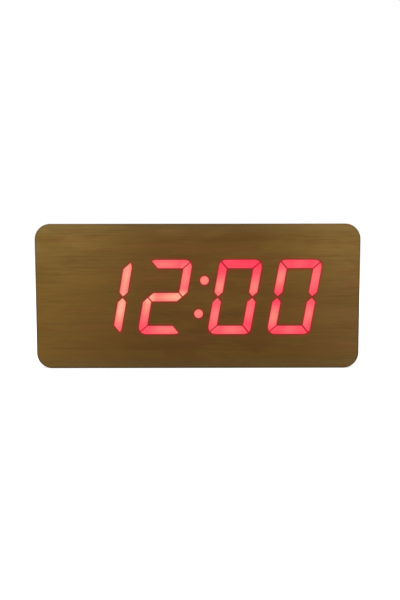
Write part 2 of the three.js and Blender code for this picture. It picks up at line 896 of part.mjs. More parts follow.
function contactPlate(contact) {
  const plate = contactBox(contact, 0, 0, contactThickness);
  const positives = contact.cells.filter((index) => nubSide(index) === contact.side);
  const dimples = positives.map((index) => {
    const geometry = new THREE.CylinderGeometry(
      dimpleTopDiameter / 2,
      dimpleBaseDiameter / 2,
      dimpleHeight + contactThickness / 2,
      smallSides,
    );
    geometry.rotateZ((contact.side * Math.PI) / 2);
    const middle = (dimpleHeight - contactThickness / 2) / 2;
    geometry.translate(endWallX(contact.side) - contact.side * middle, cellY, cellZ(index));
    return solidFrom(geometry);
  });
  return join(plate, ...dimples);
}

function bayTub() {
  const outer = roundedShape(
    bayLength + 2 * bayWall,
    bayHeight + 2 * bayWall,
    bayCornerRadius + bayWall,
    bayMiddleX,
  );
  return slab(outer, bayOutY, coverInY + coverThickness / 2);
}

// The bay's hollow: a box over a floor that the four cells have scooped into cradles.
function bayHollow() {
  const cavity = roundedShape(bayLength, bayHeight, bayCornerRadius, bayMiddleX);
  const scoops = Array.from({ length: cellCount }, (unused, index) => (
    rodAlongX(bayLeftX, bayRightX, cellY, cellZ(index), cellDiameter + 2 * cellClearance)
  ));
  return join(slab(cavity, bayFloorY + cradleHeight, coverOutY + cutOverrun), ...scoops);
}

const tabX = [-1, 1].map((side) => bayMiddleX + side * tabSpread);
const tabOutY = coverInY - doorGap;
const tabInY = tabOutY - tabThickness;

// The latch reaches in as far as the cell beneath it allows.
const latchTopZ = middleZ + bayHeight / 2 - latchGap;
const latchLowZ = latchTopZ - latchThickness;
const latchSide = Math.min(latchLowZ - cellZ(0), cellDiameter / 2);
const latchInY = cellY + Math.sqrt((cellDiameter / 2) ** 2 - latchSide ** 2) + latchToCell;

// Where the door's tabs swing through the lower wall of the bay: under the cover's lip, and open
// to the recess beside it.
function tabSlots() {
  const swing = Math.hypot(coverOutY - tabInY, tabReach);
  const inY = coverOutY - swing - tabSlotGap;
  const highZ = middleZ - bayHeight / 2 + cutOverrun;
  return tabX.flatMap((x) => {
    const left = x - tabWidth / 2 - doorGap;
    const right = x + tabWidth / 2 + doorGap;
    return [
      block(left, right, inY, coverInY, doorLowZ - tabReach - tabSlotGap, highZ),
      block(left, right, inY, bayRimY + cutOverrun, doorLowZ - doorGap, highZ),
    ];
  });
}

// The groove in the upper wall that the latch's nose snaps into.
function latchGroove() {
  const top = middleZ + bayHeight / 2;
  return block(
    bayMiddleX - latchWidth / 2 - doorGap,
    bayMiddleX + latchWidth / 2 + doorGap,
    latchInY - doorGap,
    latchInY + latchNoseHeight + doorGap,
    top - cutOverrun,
    top + latchNose + doorGap,
  );
}

function soundSlots() {
  return Array.from({ length: soundSlotCount }, (unused, index) => {
    const x = buzzerX + (index - (soundSlotCount - 1) / 2) * soundSlotPitch;
    const shape = roundedShape(soundSlotWidth, soundSlotLength, soundSlotWidth / 2, x, soundRowZ);
    return slab(shape, coverInY - cutOverrun, coverOutY + cutOverrun);
  });
}

function switchSlot() {
  const long = slideTravel + knobWidth + 2 * knobClearance;
  const wide = knobWidth + 2 * knobClearance;
  const through = block(
    slideSwitchX - long / 2,
    slideSwitchX + long / 2,
    coverInY - cutOverrun,
    coverOutY + cutOverrun,
    controlRowZ - wide / 2,
    controlRowZ + wide / 2,
  );
  const recess = roundedShape(
    long + 2 * switchRecessMargin,
    wide + 2 * switchRecessMargin,
    switchRecessMargin,
    slideSwitchX,
    controlRowZ,
  );
  return join(through, slab(recess, coverOutY - switchRecessDepth, coverOutY + cutOverrun));
}

// Holes where the two leads leave the backs of the end contacts.
function leadHoles() {
  return [0, cellCount - 1].map((index) => rodAlongX(
    bayFromMiddle - cutOverrun,
    bayLeftX,
    cellY,
    cellZ(index),
    leadHoleDiameter,
    smallSides,
  ));
}

function screwSeats() {
  const width = screwHeadDiameter + 2 * counterboreGap;
  return coverScrewPlaces.flatMap(([x, z]) => [
    rod(x, z, width, coverScrewSeatY, coverOutY + cutOverrun, roundSides),
    screwHole(x, z, screwHoleGap, coverInY - cutOverrun, coverOutY),
  ]);
}

function coverPosts() {
  const screwed = boardScrewPlaces.map(([x, z]) => (
    screwHole(x, z, pilotGap, controlRearY - cutOverrun, controlFrontY + boardScrewLength + pilotGap)
  ));
  const posts = postPlaces.map(([x, z]) => (
    rod(x, z, postDiameter, controlRearY, coverInY + coverThickness / 2, smallSides)
  ));
  return { posts, screwed };
}

function rearCover() {
  const outline = roundedShape(
    rebateWidth - 2 * coverGap,
    rebateHeight - 2 * coverGap,
    coverCornerRadius,
  );
  const panel = softSlab(outline, coverInY, coverOutY, coverEdgeChamfer, 1, arcSteps);
  const { posts, screwed } = coverPosts();
  const micTube = rod(
    micX,
    soundRowZ,
    micHoleDiameter + 2 * micTubeWall,
    coverInY - micTubeLength,
    coverInY + coverThickness / 2,
    smallSides,
  );
  const doorRecess = roundedShape(
    doorWidth + 2 * doorGap,
    doorHeight + 2 * doorGap,
    doorCornerRadius,
    bayMiddleX,
  );
  const through = [
    ...buttonX.map((x) => [x, controlRowZ, buttonHoleDiameter]),
    [jackX, controlRowZ, jackHoleDiameter],
    [micX, soundRowZ, micHoleDiameter],
  ].map(([x, z, diameter]) => (
    rod(x, z, diameter, coverInY - micTubeLength - cutOverrun, coverOutY + cutOverrun)
  ));
  return cut(
    join(panel, bayTub(), micTube, ...posts),
    bayHollow(),
    slab(doorRecess, bayRimY, coverOutY + cutOverrun),
    rod(bayMiddleX, doorHighZ, 2 * scoopRadius, coverOutY - scoopDepth, coverOutY + cutOverrun),
    latchGroove(),
    switchSlot(),
    ...tabSlots(),
    ...contacts.map(contactRecess),
    ...leadHoles(),
    ...soundSlots(),
    ...screwSeats(),
    ...screwed,
    ...through,
  );
}

// The door swings on the outer corner of its lower edge.
function batteryDoor() {
  const outline = roundedShape(doorWidth, doorHeight, doorCornerRadius, bayMiddleX);
  const tabs = tabX.map((x) => join(
    block(
      x - tabWidth / 2,
      x + tabWidth / 2,
      tabInY,
      doorInY + doorThickness / 2,
      doorLowZ + tabNeckInset,
      doorLowZ + tabNeckInset + tabNeckWidth,
    ),
    block(
      x - tabWidth / 2,
      x + tabWidth / 2,
      tabInY,
      tabOutY,
      doorLowZ - tabReach,
      doorLowZ + tabNeckInset + tabNeckWidth,
    ),
  ));
  const latch = block(
    bayMiddleX - latchWidth / 2,
    bayMiddleX + latchWidth / 2,
    latchInY,
    doorInY + doorThickness / 2,
    latchLowZ,
    latchTopZ,
  );
  const nose = block(
    bayMiddleX - latchWidth / 2,
    bayMiddleX + latchWidth / 2,
    latchInY,
    latchInY + latchNoseHeight,
    latchLowZ,
    latchTopZ + latchNose,
  );
  const ribs = Array.from({ length: gripRibCount }, (unused, index) => {
    const z = doorHighZ - gripRibInset - index * gripRibPitch;
    const shape = roundedShape(gripRibLength, gripRibWidth, gripRibWidth / 2, bayMiddleX, z);
    return slab(shape, doorInY + doorThickness / 2, coverOutY + gripRibHeight);
  });
  return join(slab(outline, doorInY, coverOutY), ...tabs, latch, nose, ...ribs);
}

// Cells, springs and leads

// A cell lies along X. Its nub faces the wall on its "nubSide".
function batteryCell(index) {
  const side = nubSide(index);
  const radius = cellDiameter / 2;
  const canLength = cellLength - cellNubHeight;
  const profile = [
    [0, 0],
    [radius - cellShoulderRadius, 0],
    [radius, cellShoulderRadius],
    [radius, canLength - cellShoulderRadius],
    [radius - cellShoulderRadius, canLength],
    [cellNubDiameter / 2, canLength],
    [cellNubDiameter / 2, cellLength],
    [0, cellLength],
  ];
  const geometry = new THREE.LatheGeometry(
    profile.map(([distance, along]) => new THREE.Vector2(distance, along)),
    roundSides,
  );
  geometry.rotateZ((-side * Math.PI) / 2);
  const flatEnd = endWallX(-side) + side * (springLength + contactGap);
  geometry.translate(flatEnd, cellY, cellZ(index));
  return solidFrom(geometry);
}

// The wire's path along X from zero to the spring's length. Both ends turn to run straight.
function springPath() {
  const rise = springLength - 2 * (springWire + springBend);
  const steps = springCurls * stepsPerCurl;
  const helix = Array.from({ length: steps + 1 }, (unused, index) => {
    const angle = (2 * Math.PI * index) / stepsPerCurl;
    return new THREE.Vector3(
      springWire + springBend + (rise * index) / steps,
      springRadius * Math.cos(angle),
      springRadius * Math.sin(angle),
    );
  });
  const axis = new THREE.Vector3(1, 0, 0);
  const tangent = new THREE.Vector3(0, 0, 1);
  const endLeg = (point, sign) => {
    const turn = (angle) => point.clone()
      .addScaledVector(axis, sign * springBend * (Math.sin(angle) - 1))
      .addScaledVector(tangent, -sign * springBend * Math.cos(angle));
    const straight = turn(0).addScaledVector(axis, -sign * springWire);
    return [straight, turn(0), turn(Math.PI / 4)];
  };
  return [...endLeg(helix[0], 1), ...helix, ...endLeg(helix[steps], -1).toReversed()];
}

// The least gap between two stretches of the wire that aren't neighbours along it.
function leastGap(path, diameter) {
  const apart = Math.ceil(stepsPerCurl / 2);
  let least = Infinity;
  path.forEach((point, index) => {
    path.slice(index + apart).forEach((other) => {
      least = Math.min(least, point.distanceTo(other) - diameter);
    });
  });
  return least;
}

// A round tube along a list of points, with flat ends.
function tube(path, diameter, sides) {
  const directions = path.map((point, index) => {
    const before = path[Math.max(index - 1, 0)];
    const after = path[Math.min(index + 1, path.length - 1)];
    const into = point.clone().sub(before).normalize();
    const away = after.clone().sub(point).normalize();
    return into.add(away).normalize();
  });
  const positions = [];
  const across = new THREE.Vector3(0, 1, 0);
  path.forEach((point, index) => {
    const along = directions[index];
    across.addScaledVector(along, -across.dot(along)).normalize();
    const up = along.clone().cross(across);
    for (let side = 0; side < sides; side += 1) {
      const angle = (2 * Math.PI * side) / sides;
      const rim = point.clone()
        .addScaledVector(across, (diameter / 2) * Math.cos(angle))
        .addScaledVector(up, (diameter / 2) * Math.sin(angle));
      positions.push(rim.x, rim.y, rim.z);
    }
  });
  const index = [];
  const last = (path.length - 1) * sides;
  for (let ring = 0; ring < path.length - 1; ring += 1) {
    for (let side = 0; side < sides; side += 1) {
      const here = ring * sides + side;
      const next = ring * sides + ((side + 1) % sides);
      index.push(here, next, here + sides);
      index.push(next, next + sides, here + sides);
    }
  }
  for (let side = 1; side < sides - 1; side += 1) {
    index.push(0, side + 1, side);
    index.push(last, last + side, last + side + 1);
  }
  const geometry = new THREE.BufferGeometry();
  geometry.setAttribute('position', new THREE.Float32BufferAttribute(positions, 3));
  geometry.setIndex(index);
  return geometry;
}

// A spring runs from the contact plate behind the cell's flat end to that end.
function batterySpring(index) {
  const side = nubSide(index);
  const geometry = tube(springPath(), springWire, wireSides);
  if (side < 0) {
    geometry.rotateY(Math.PI);
  }
  geometry.translate(endWallX(-side), cellY, cellZ(index));
  return solidFrom(geometry);
}

// A lead runs from the back of an end contact, through the wall, to the edge of the control board.
function batteryLead(index) {
  const sign = index === 0 ? 1 : -1;
  const startZ = cellZ(index);
  const padX = boardRightX - leadPadInset;
  const padZ = startZ - sign * leadDrop;
  const points = [
    [bayLeftX - contactThickness - contactGap, cellY, startZ],
    [bayFromMiddle - leadDiameter, cellY, startZ],
    [(bayFromMiddle + padX) / 2, cellY + leadDiameter, (startZ + padZ) / 2],
    [padX, controlRearY + 2 * leadDiameter, padZ],
    [padX, controlRearY + contactGap, padZ],
  ].map(([x, y, z]) => new THREE.Vector3(x, y, z));
  const curve = new THREE.CatmullRomCurve3(points, false, 'centripetal');
  return solidFrom(tube(curve.getPoints(leadSteps), leadDiameter, leadSides));
}

// Controls

function pushButton(x) {
  const cap = buttonDiameter / 2;
  const topY = coverOutY + buttonProud;
  const flangeOutY = coverInY - buttonFlangeGap;
  const flangeInY = flangeOutY - buttonFlangeThickness;
  const profile = [
    [0, plungerTopY + plungerGap],
    [buttonStemDiameter / 2, plungerTopY + plungerGap],
    [buttonStemDiameter / 2, flangeInY],
    [buttonFlangeDiameter / 2, flangeInY],
    [buttonFlangeDiameter / 2, flangeOutY],
    [cap, flangeOutY],
    [cap, topY - buttonEdgeRadius],
    [cap - buttonEdgeRadius, topY],
    [0, topY],
  ];
  return turned(profile, x, controlRowZ);
}

function plunger(x) {
  const inY = controlRearY + pushSwitchHeight - plungerDepth;
  return rod(x, controlRowZ, plungerDiameter, inY + buttonTravel, plungerTopY, smallSides);
}

function pushSwitch(x) {
  const outline = roundedShape(pushSwitchWidth, pushSwitchWidth, pushSwitchChamfer, x, controlRowZ);
  const topY = controlRearY + pushSwitchHeight;
  const well = rod(
    x,
    controlRowZ,
    plungerDiameter + 2 * plungerStemGap,
    topY - plungerDepth - plungerStemGap,
    topY + cutOverrun,
    smallSides,
  );
  return cut(slab(outline, controlRearY, topY, 1), well);
}

const slideTopY = controlRearY + slideSwitchHeight;

function slideSwitch() {
  const halfLong = (slideTravel + knobStemWidth) / 2 + knobClearance;
  const halfWide = knobStemWidth / 2 + knobClearance;
  const body = block(
    slideSwitchX - slideSwitchLength / 2,
    slideSwitchX + slideSwitchLength / 2,
    controlRearY,
    slideTopY,
    controlRowZ - slideSwitchWidth / 2,
    controlRowZ + slideSwitchWidth / 2,
  );
  const slot = block(
    slideSwitchX - halfLong,
    slideSwitchX + halfLong,
    slideTopY - knobStemDepth - knobClearance,
    slideTopY + cutOverrun,
    controlRowZ - halfWide,
    controlRowZ + halfWide,
  );
  return cut(body, slot);
}

// The knob stands at the end of its slot nearest the jack, and slides towards the buttons.
function slideKnob() {
  const x = slideSwitchX - slideTravel / 2;
  const stemTopY = (slideTopY + coverInY) / 2;
  const stem = block(
    x - knobStemWidth / 2,
    x + knobStemWidth / 2,
    slideTopY - knobStemDepth,
    stemTopY + cutOverrun,
    controlRowZ - knobStemWidth / 2,
    controlRowZ + knobStemWidth / 2,
  );
  const shape = roundedShape(knobWidth, knobWidth, knobCornerRadius, x, controlRowZ);
  return join(stem, slab(shape, stemTopY, coverOutY + knobProud, 1));
}

// A power jack: a square body, a collar in the cover's hole, and a pin down the middle of its bore.
function powerJack() {
  const bodyOutY = controlRearY + jackBodyHeight;
  const collarOutY = coverOutY - jackRecess;
  const shape = roundedShape(jackWidth, jackWidth, chipEdgeChamfer, jackX, controlRowZ);
  const body = slab(shape, controlRearY, bodyOutY, 1);
  const collar = rod(jackX, controlRowZ, jackCollarDiameter, bodyOutY - jackFloor, collarOutY);
  const bore = rod(
    jackX,
    controlRowZ,
    jackBoreDiameter,
    controlRearY + jackFloor,
    collarOutY + cutOverrun,
  );
  const pinOutY = collarOutY - jackPinRecess;
  const pin = turned([
    [0, controlRearY + jackFloor / 2],
    [jackPinDiameter / 2, controlRearY + jackFloor / 2],
    [jackPinDiameter / 2, pinOutY - jackPinDiameter / 2],
    [0, pinOutY],
  ], jackX, controlRowZ, smallSides);
  return join(cut(join(body, collar), bore), pin);
}

// A round can on the control board, with a port in its outer face.
function soundCan(x, diameter, height, portDiameter, portDepth) {
  const radius = diameter / 2;
  const outY = controlRearY + height;
  return turned([
    [0, controlRearY],
    [radius, controlRearY],
    [radius, outY - portDepth / 2],
    [radius - portDepth / 2, outY],
    [portDiameter / 2, outY],
    [portDiameter / 2, outY - portDepth],
    [0, outY - portDepth],
  ], x, soundRowZ);
}

function capacitor() {
  const x = boardLeftX + capacitorFromLeft;
  return rod(
    x,
    middleZ - capacitorDrop,
    capacitorDiameter,
    controlRearY,
    controlRearY + capacitorHeight,
    smallSides,
  );
}

function crystal() {
  const x = boardRightX - controlChipFromRight;
  return rodAlongX(
    x - crystalLength / 2,
    x + crystalLength / 2,
    controlFrontY - crystalDiameter / 2,
    middleZ - crystalDrop,
    crystalDiameter,
    smallSides,
  );
}

function controlBoard() {
  const outline = roundedShape(controlBoardWidth, controlBoardHeight, boardCornerRadius, boardMiddleX);
  const holes = boardScrewPlaces.map(([x, z]) => (
    screwHole(x, z, screwHoleGap, controlFrontY - cutOverrun, controlRearY + cutOverrun)
  ));
  return cut(slab(outline, controlFrontY, controlRearY, 1), ...holes);
}

// Materials

function finish(color, roughness, metalness = 0) {
  return new THREE.MeshStandardMaterial({ color, roughness, metalness });
}

const woodColor = '#6d5228';
const glowColor = '#ff7f78';

// The clock, put together

const clock = new THREE.Group();

function addPart(name, solid, material) {
  const { vertProperties, triVerts } = solid.getMesh();
  const shared = new THREE.BufferGeometry();
  shared.setAttribute('position', new THREE.BufferAttribute(vertProperties, 3));
  shared.setIndex(new THREE.BufferAttribute(triVerts, 1));
  const geometry = shared.toNonIndexed();
  geometry.computeVertexNormals();
  const mesh = new THREE.Mesh(geometry, material);
  mesh.name = name;
  clock.add(mesh);
}

addPart('wooden_case', woodenCase(), finish(woodColor, 0.5));
addPart('front_skin', frontSkin(), finish(woodColor, 0.5));
addPart('segment_mask', segmentMask(), finish('#171717', 0.7));
digitX.forEach((x, index) => {
  addPart(`digit_${index + 1}_lens`, digitLens(index), finish(glowColor, 0.4));
});
addPart('colon_lens', colonLens(), finish(glowColor, 0.4));
addPart('display_reflector', displayReflector(), finish('#eceae4', 0.5));
addPart('display_board', displayBoard(), finish('#1f6b3a', 0.5));
displayScrewPlaces.forEach(([x, z], index) => {
  const solid = screw(x, z, displayBoardBackY, 1, displayScrewLength);
  addPart(`display_screw_${index + 1}`, solid, finish('#b9bcc0', 0.35, 1));
});
addPart('display_driver_chip', chip(
  driverChipFromMiddle,
  middleZ,
  driverChipWidth,
  driverChipDepth,
  displayBoardBackY,
  1,
  driverChipHeight,
), finish('#1c1c1e', 0.5));
addPart('display_header', header(displayHeaderZ, displayBoardBackY, 1), finish('#efe9da', 0.5));
addPart('ribbon_cable', ribbonCable(), finish('#b8b8b4', 0.5));
addPart('control_header', header(controlHeaderZ, controlFrontY, -1), finish('#efe9da', 0.5));
addPart('control_board', controlBoard(), finish('#1f6b3a', 0.5));
addPart('control_chip', chip(
  boardRightX - controlChipFromRight,
  middleZ,
  controlChipWidth,
  controlChipWidth,
  controlFrontY,
  -1,
  controlChipHeight,
), finish('#1c1c1e', 0.5));
addPart('crystal', crystal(), finish('#b9bcc0', 0.3, 1));
addPart('capacitor', capacitor(), finish('#2a2a55', 0.4));
addPart('buzzer', soundCan(
  buzzerX,
  buzzerDiameter,
  buzzerHeight,
  buzzerPortDiameter,
  buzzerPortDepth,
), finish('#1c1c1e', 0.5));
addPart('microphone', soundCan(
  micX,
  micDiameter,
  micHeight,
  micPortDiameter,
  micPortDepth,
), finish('#b9bcc0', 0.35, 1));
boardScrewPlaces.forEach(([x, z], index) => {
  const solid = screw(x, z, controlFrontY, -1, boardScrewLength);
  addPart(`board_screw_${index + 1}`, solid, finish('#b9bcc0', 0.35, 1));
});
addPart('rear_cover', rearCover(), finish('#1b1b1c', 0.55));
coverScrewPlaces.forEach(([x, z], index) => {
  const solid = screw(x, z, coverScrewSeatY, 1, coverScrewLength);
  addPart(`cover_screw_${index + 1}`, solid, finish('#2c2c2e', 0.35, 1));
});
addPart('battery_door', batteryDoor(), finish('#1b1b1c', 0.55));
for (let index = 0; index < cellCount; index += 1) {
  addPart(`battery_cell_${index + 1}`, batteryCell(index), finish('#3b5f8c', 0.35, 0.4));
  addPart(`battery_spring_${index + 1}`, batterySpring(index), finish('#c9ccd0', 0.25, 1));
}
for (const contact of contacts) {
  addPart(contact.name, contactPlate(contact), finish('#c9ccd0', 0.25, 1));
}
addPart('battery_lead_positive', batteryLead(0), finish('#b3201c', 0.5));
addPart('battery_lead_negative', batteryLead(cellCount - 1), finish('#1a1a1a', 0.5));
buttonNames.forEach((name, index) => {
  addPart(`${name}_button`, pushButton(buttonX[index]), finish('#1b1b1c', 0.5));
  addPart(`${name}_plunger`, plunger(buttonX[index]), finish('#1b1b1c', 0.6));
  addPart(`${name}_switch`, pushSwitch(buttonX[index]), finish('#3a3a3c', 0.5));
});
addPart('sound_switch', slideSwitch(), finish('#b9bcc0', 0.35, 1));
addPart('sound_switch_knob', slideKnob(), finish('#1b1b1c', 0.6));
addPart('power_jack', powerJack(), finish('#1b1b1c', 0.5));

console.log(`least gap of a battery spring to itself: ${leastGap(springPath(), springWire).toFixed(2)} mm`);

export default clock;
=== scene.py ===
import math

import bmesh
import bpy
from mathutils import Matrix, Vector
from mathutils.geometry import delaunay_2d_cdt


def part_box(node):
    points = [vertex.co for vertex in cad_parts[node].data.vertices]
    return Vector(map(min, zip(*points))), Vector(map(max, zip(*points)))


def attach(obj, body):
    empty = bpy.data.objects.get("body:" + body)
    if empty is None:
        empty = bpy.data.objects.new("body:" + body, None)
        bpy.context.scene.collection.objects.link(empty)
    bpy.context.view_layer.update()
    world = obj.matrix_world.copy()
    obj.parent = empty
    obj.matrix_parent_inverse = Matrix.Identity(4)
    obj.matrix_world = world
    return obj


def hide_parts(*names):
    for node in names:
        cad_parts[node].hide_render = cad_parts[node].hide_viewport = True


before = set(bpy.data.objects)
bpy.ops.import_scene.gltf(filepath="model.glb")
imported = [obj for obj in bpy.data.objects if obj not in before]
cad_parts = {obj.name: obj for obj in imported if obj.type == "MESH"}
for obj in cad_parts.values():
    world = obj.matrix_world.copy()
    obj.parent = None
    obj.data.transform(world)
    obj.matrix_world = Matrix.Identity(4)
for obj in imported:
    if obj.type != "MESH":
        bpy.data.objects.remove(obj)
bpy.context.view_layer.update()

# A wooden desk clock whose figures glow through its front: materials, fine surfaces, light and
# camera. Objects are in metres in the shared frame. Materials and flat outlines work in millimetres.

MM = 0.001

# Sizes of the block and its display
SKIN_LOW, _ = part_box("front_skin")
_, CASE_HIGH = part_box("wooden_case")
LENS_LOW, LENS_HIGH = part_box("digit_1_lens")
FRONT_Y = SKIN_LOW.y
HALF_WIDTH = CASE_HIGH.x / MM
HALF_DEPTH = CASE_HIGH.y / MM
HEIGHT = CASE_HIGH.z / MM
CORNER_RADIUS = 10.0
DISPLAY_Z = (LENS_LOW.z + LENS_HIGH.z) / 2 / MM
SLANT = math.tan(math.radians(10))

# Vertices closer together than WELD are one, and those within FLAT_WITHIN of the front lie on it
WELD = 0.002 * MM
FLAT_WITHIN = 0.001 * MM

# Edges that turn by fewer degrees than this are shaded smooth, or count as within one flat face
SMOOTH_BELOW = 32
SMOOTH_BELOW_ON_WIRE = 80
SMOOTH_BELOW_ON_LEADS = 60
COPLANAR_BELOW = 0.5


# Colours

def srgb(red, green, blue):
    """A colour written as 0 to 255, as the linear values that Blender works in."""
    def linear(value):
        value /= 255
        return value / 12.92 if value <= 0.04045 else ((value + 0.055) / 1.055) ** 2.4
    return (linear(red), linear(green), linear(blue), 1.0)


def lighter(colour, step):
    """A colour written as 0 to 255, with each part raised by a step."""
    return srgb(*[min(255, part + step) for part in colour])


# Painted light across the wood: the middle colour is darker and the end colours paler, as light reflected at
# the ends would make them
WOOD_MIDDLE = srgb(104, 73, 28)
WOOD_LIT_END = srgb(127, 94, 39)
WOOD_LIT_RIGHT_END = srgb(126, 93, 47)
# Painted light: the paler colour of the upper ends, as if lit from above
WOOD_LIT_UPPER_END = srgb(136, 107, 52)
WOOD_OLIVE_PATCH = srgb(114, 88, 35)
WOOD_RED_PATCH = srgb(122, 78, 38)
WOOD_PORE = srgb(86, 55, 26)
# Painted sheen: the paler grey towards the top and bottom edges
WOOD_PAINTED_SHEEN = srgb(124, 112, 78)
# Painted shade on the rounded rim
WOOD_RIM_SHADE = srgb(50, 42, 30)
SPILLED_LIGHT = srgb(255, 8, 50)

LENS_BODY = srgb(30, 8, 8)
LENS_LIGHT = [
    (0.0, srgb(255, 58, 88)),
    (0.25, srgb(254, 84, 99)),
    (0.5, srgb(253, 110, 113)),
    (0.75, srgb(254, 140, 123)),
    (1.0, srgb(255, 174, 145)),
]

DUST = srgb(150, 146, 138)
FELT_DARK = srgb(8, 8, 8)
FELT_LIGHT = srgb(30, 30, 31)
BOARD_GREEN = srgb(18, 78, 44)
TRACK_GREEN = srgb(36, 112, 62)
PAD_TIN = srgb(196, 196, 190)
# Painted shade in the ribbon's hollows and painted light on its ridges
RIBBON_HOLLOW_SHADE = srgb(140, 140, 138)
RIBBON_RIDGE_LIT = srgb(186, 186, 180)
RIBBON_MARK = srgb(168, 40, 36)
SLEEVE_BLUE = srgb(30, 74, 118)
SLEEVE_SCUFF = srgb(96, 120, 146)
SLEEVE_PALE = srgb(206, 207, 204)
CELL_METAL = srgb(198, 200, 204)
STRIPE_SILVER = srgb(196, 198, 202)
STEEL = (188, 190, 194)


# Materials

# Most values of a noise texture lie between these two.
NOISE_RANGE = (0.3, 0.7)


class Shader:
    """A material with one Principled surface, and short calls for the nodes that feed it."""

    def __init__(self, name, **values):
        self.material = bpy.data.materials.new(name)
        self.material.use_nodes = True
        self.nodes = self.material.node_tree.nodes
        self.links = self.material.node_tree.links
        self.nodes.clear()
        self.surface = self.nodes.new("ShaderNodeBsdfPrincipled")
        output = self.nodes.new("ShaderNodeOutputMaterial")
        self.links.new(self.surface.outputs["BSDF"], output.inputs["Surface"])
        for socket, value in values.items():
            self.set(socket, value)
        place = self.nodes.new("ShaderNodeTexCoord").outputs["Object"]
        self.place = self.vector_math("SCALE", place, scale=1 / MM)
        self.x, self.y, self.z = self.split(self.place)

    def set(self, socket, value):
        """Gives a socket of the surface a number, a colour or a link."""
        short = {"specular": "Specular IOR Level", "roughness": "Roughness", "metallic": "Metallic"}
        self.put(self.surface.inputs[short.get(socket, socket)], value)

    def put(self, socket, value):
        if isinstance(value, bpy.types.NodeSocket):
            self.links.new(value, socket)
        else:
            socket.default_value = value

    def math(self, operation, first, second=0.0, clamp=False):
        node = self.nodes.new("ShaderNodeMath")
        node.operation = operation
        node.use_clamp = clamp
        self.put(node.inputs[0], first)
        self.put(node.inputs[1], second)
        return node.outputs[0]

    def vector_math(self, operation, first, second=None, scale=None):
        node = self.nodes.new("ShaderNodeVectorMath")
        node.operation = operation
        self.put(node.inputs[0], first)
        if second is not None:
            self.put(node.inputs[1], second)
        if scale is not None:
            self.put(node.inputs["Scale"], scale)
        return node.outputs["Value" if operation == "LENGTH" else "Vector"]

    def split(self, vector):
        node = self.nodes.new("ShaderNodeSeparateXYZ")
        self.put(node.inputs[0], vector)
        return node.outputs

    def join(self, x, y, z):
        node = self.nodes.new("ShaderNodeCombineXYZ")
        for socket, value in zip(node.inputs, (x, y, z)):
            self.put(socket, value)
        return node.outputs[0]

    def noise(self, vector, scale=1.0, detail=2.0, roughness=0.5):
        node = self.nodes.new("ShaderNodeTexNoise")
        self.put(node.inputs["Vector"], vector)
        node.inputs["Scale"].default_value = scale
        node.inputs["Detail"].default_value = detail
        node.inputs["Roughness"].default_value = roughness
        return node.outputs[0]

    def spread(self, value, low, high, to_low=0.0, to_high=1.0, smooth=True):
        """Value from low to high becomes to_low to to_high, and stays there beyond them."""
        node = self.nodes.new("ShaderNodeMapRange")
        node.interpolation_type = "SMOOTHSTEP" if smooth else "LINEAR"
        for socket, number in zip(node.inputs, (value, low, high, to_low, to_high)):
            self.put(socket, number)
        return node.outputs[0]

    def mix(self, share, first, second):
        """The first colour or vector where share is 0, and the second where it is 1."""
        node = self.nodes.new("ShaderNodeMix")
        node.data_type = "RGBA"
        for index, value in ((0, share), (6, first), (7, second)):
            self.put(node.inputs[index], value)
        return node.outputs[2]

    def shade(self, colour, share):
        """The colour times a number."""
        return self.vector_math("SCALE", colour, scale=share)

    def ramp(self, value, stops):
        node = self.nodes.new("ShaderNodeValToRGB")
        self.put(node.inputs[0], value)
        elements = node.color_ramp.elements
        while len(elements) < len(stops):
            elements.new(0.5)
        for element, (position, colour) in zip(elements, stops):
            element.position = position
            element.color = colour
        return node.outputs[0]

    def attribute(self, name):
        node = self.nodes.new("ShaderNodeAttribute")
        node.attribute_name = name
        return node.outputs["Fac"]

    def bump(self, height, depth_mm):
        node = self.nodes.new("ShaderNodeBump")
        node.inputs["Distance"].default_value = depth_mm * MM
        self.put(node.inputs["Height"], height)
        self.set("Normal", node.outputs[0])


# Places on the wood, in millimetres: the first number of a pair is where a change starts
FACE_GRAIN = (HALF_DEPTH - 0.7, HALF_DEPTH - 0.1)
# Painted light: from the darkest place out to the paler ends
DARKEST_X = 4
FROM_DARKEST = (23, 108)
RIGHT_END = (40, 104)
# Painted light on the upper ends
UPPER_PART = (40, 95)
# Painted shade, from darkest at the foot to lightest at the top, over this height
SHADED_HEIGHT = (0, 90)
# Painted sheen towards the top and bottom edges
SHEEN_FROM_MID_HEIGHT = (38, 44)
# Where the painted shade on the rim lies, and the height over which it pales where light falls from above
RIM_DEPTH = (HALF_DEPTH - 1.0, HALF_DEPTH - 0.7)
RIM_REACH = (CORNER_RADIUS - 1.7, CORNER_RADIUS)
PALER_RIM_HEIGHT = (80, 92)

# Light on the skin, from the glow stored in its mesh, which is 1 at a stroke's edge and more in the
# narrow webs between strokes: the share of the wood that it hides, its strength, the glow values
# over which a web's own light comes in, and how strong that is
HIDDEN_BY_GLOW = 0.84
GLOW_STRENGTH = 0.27
WEB_GLOW = (1.0, 1.4)
WEB_STRENGTH = 0.3


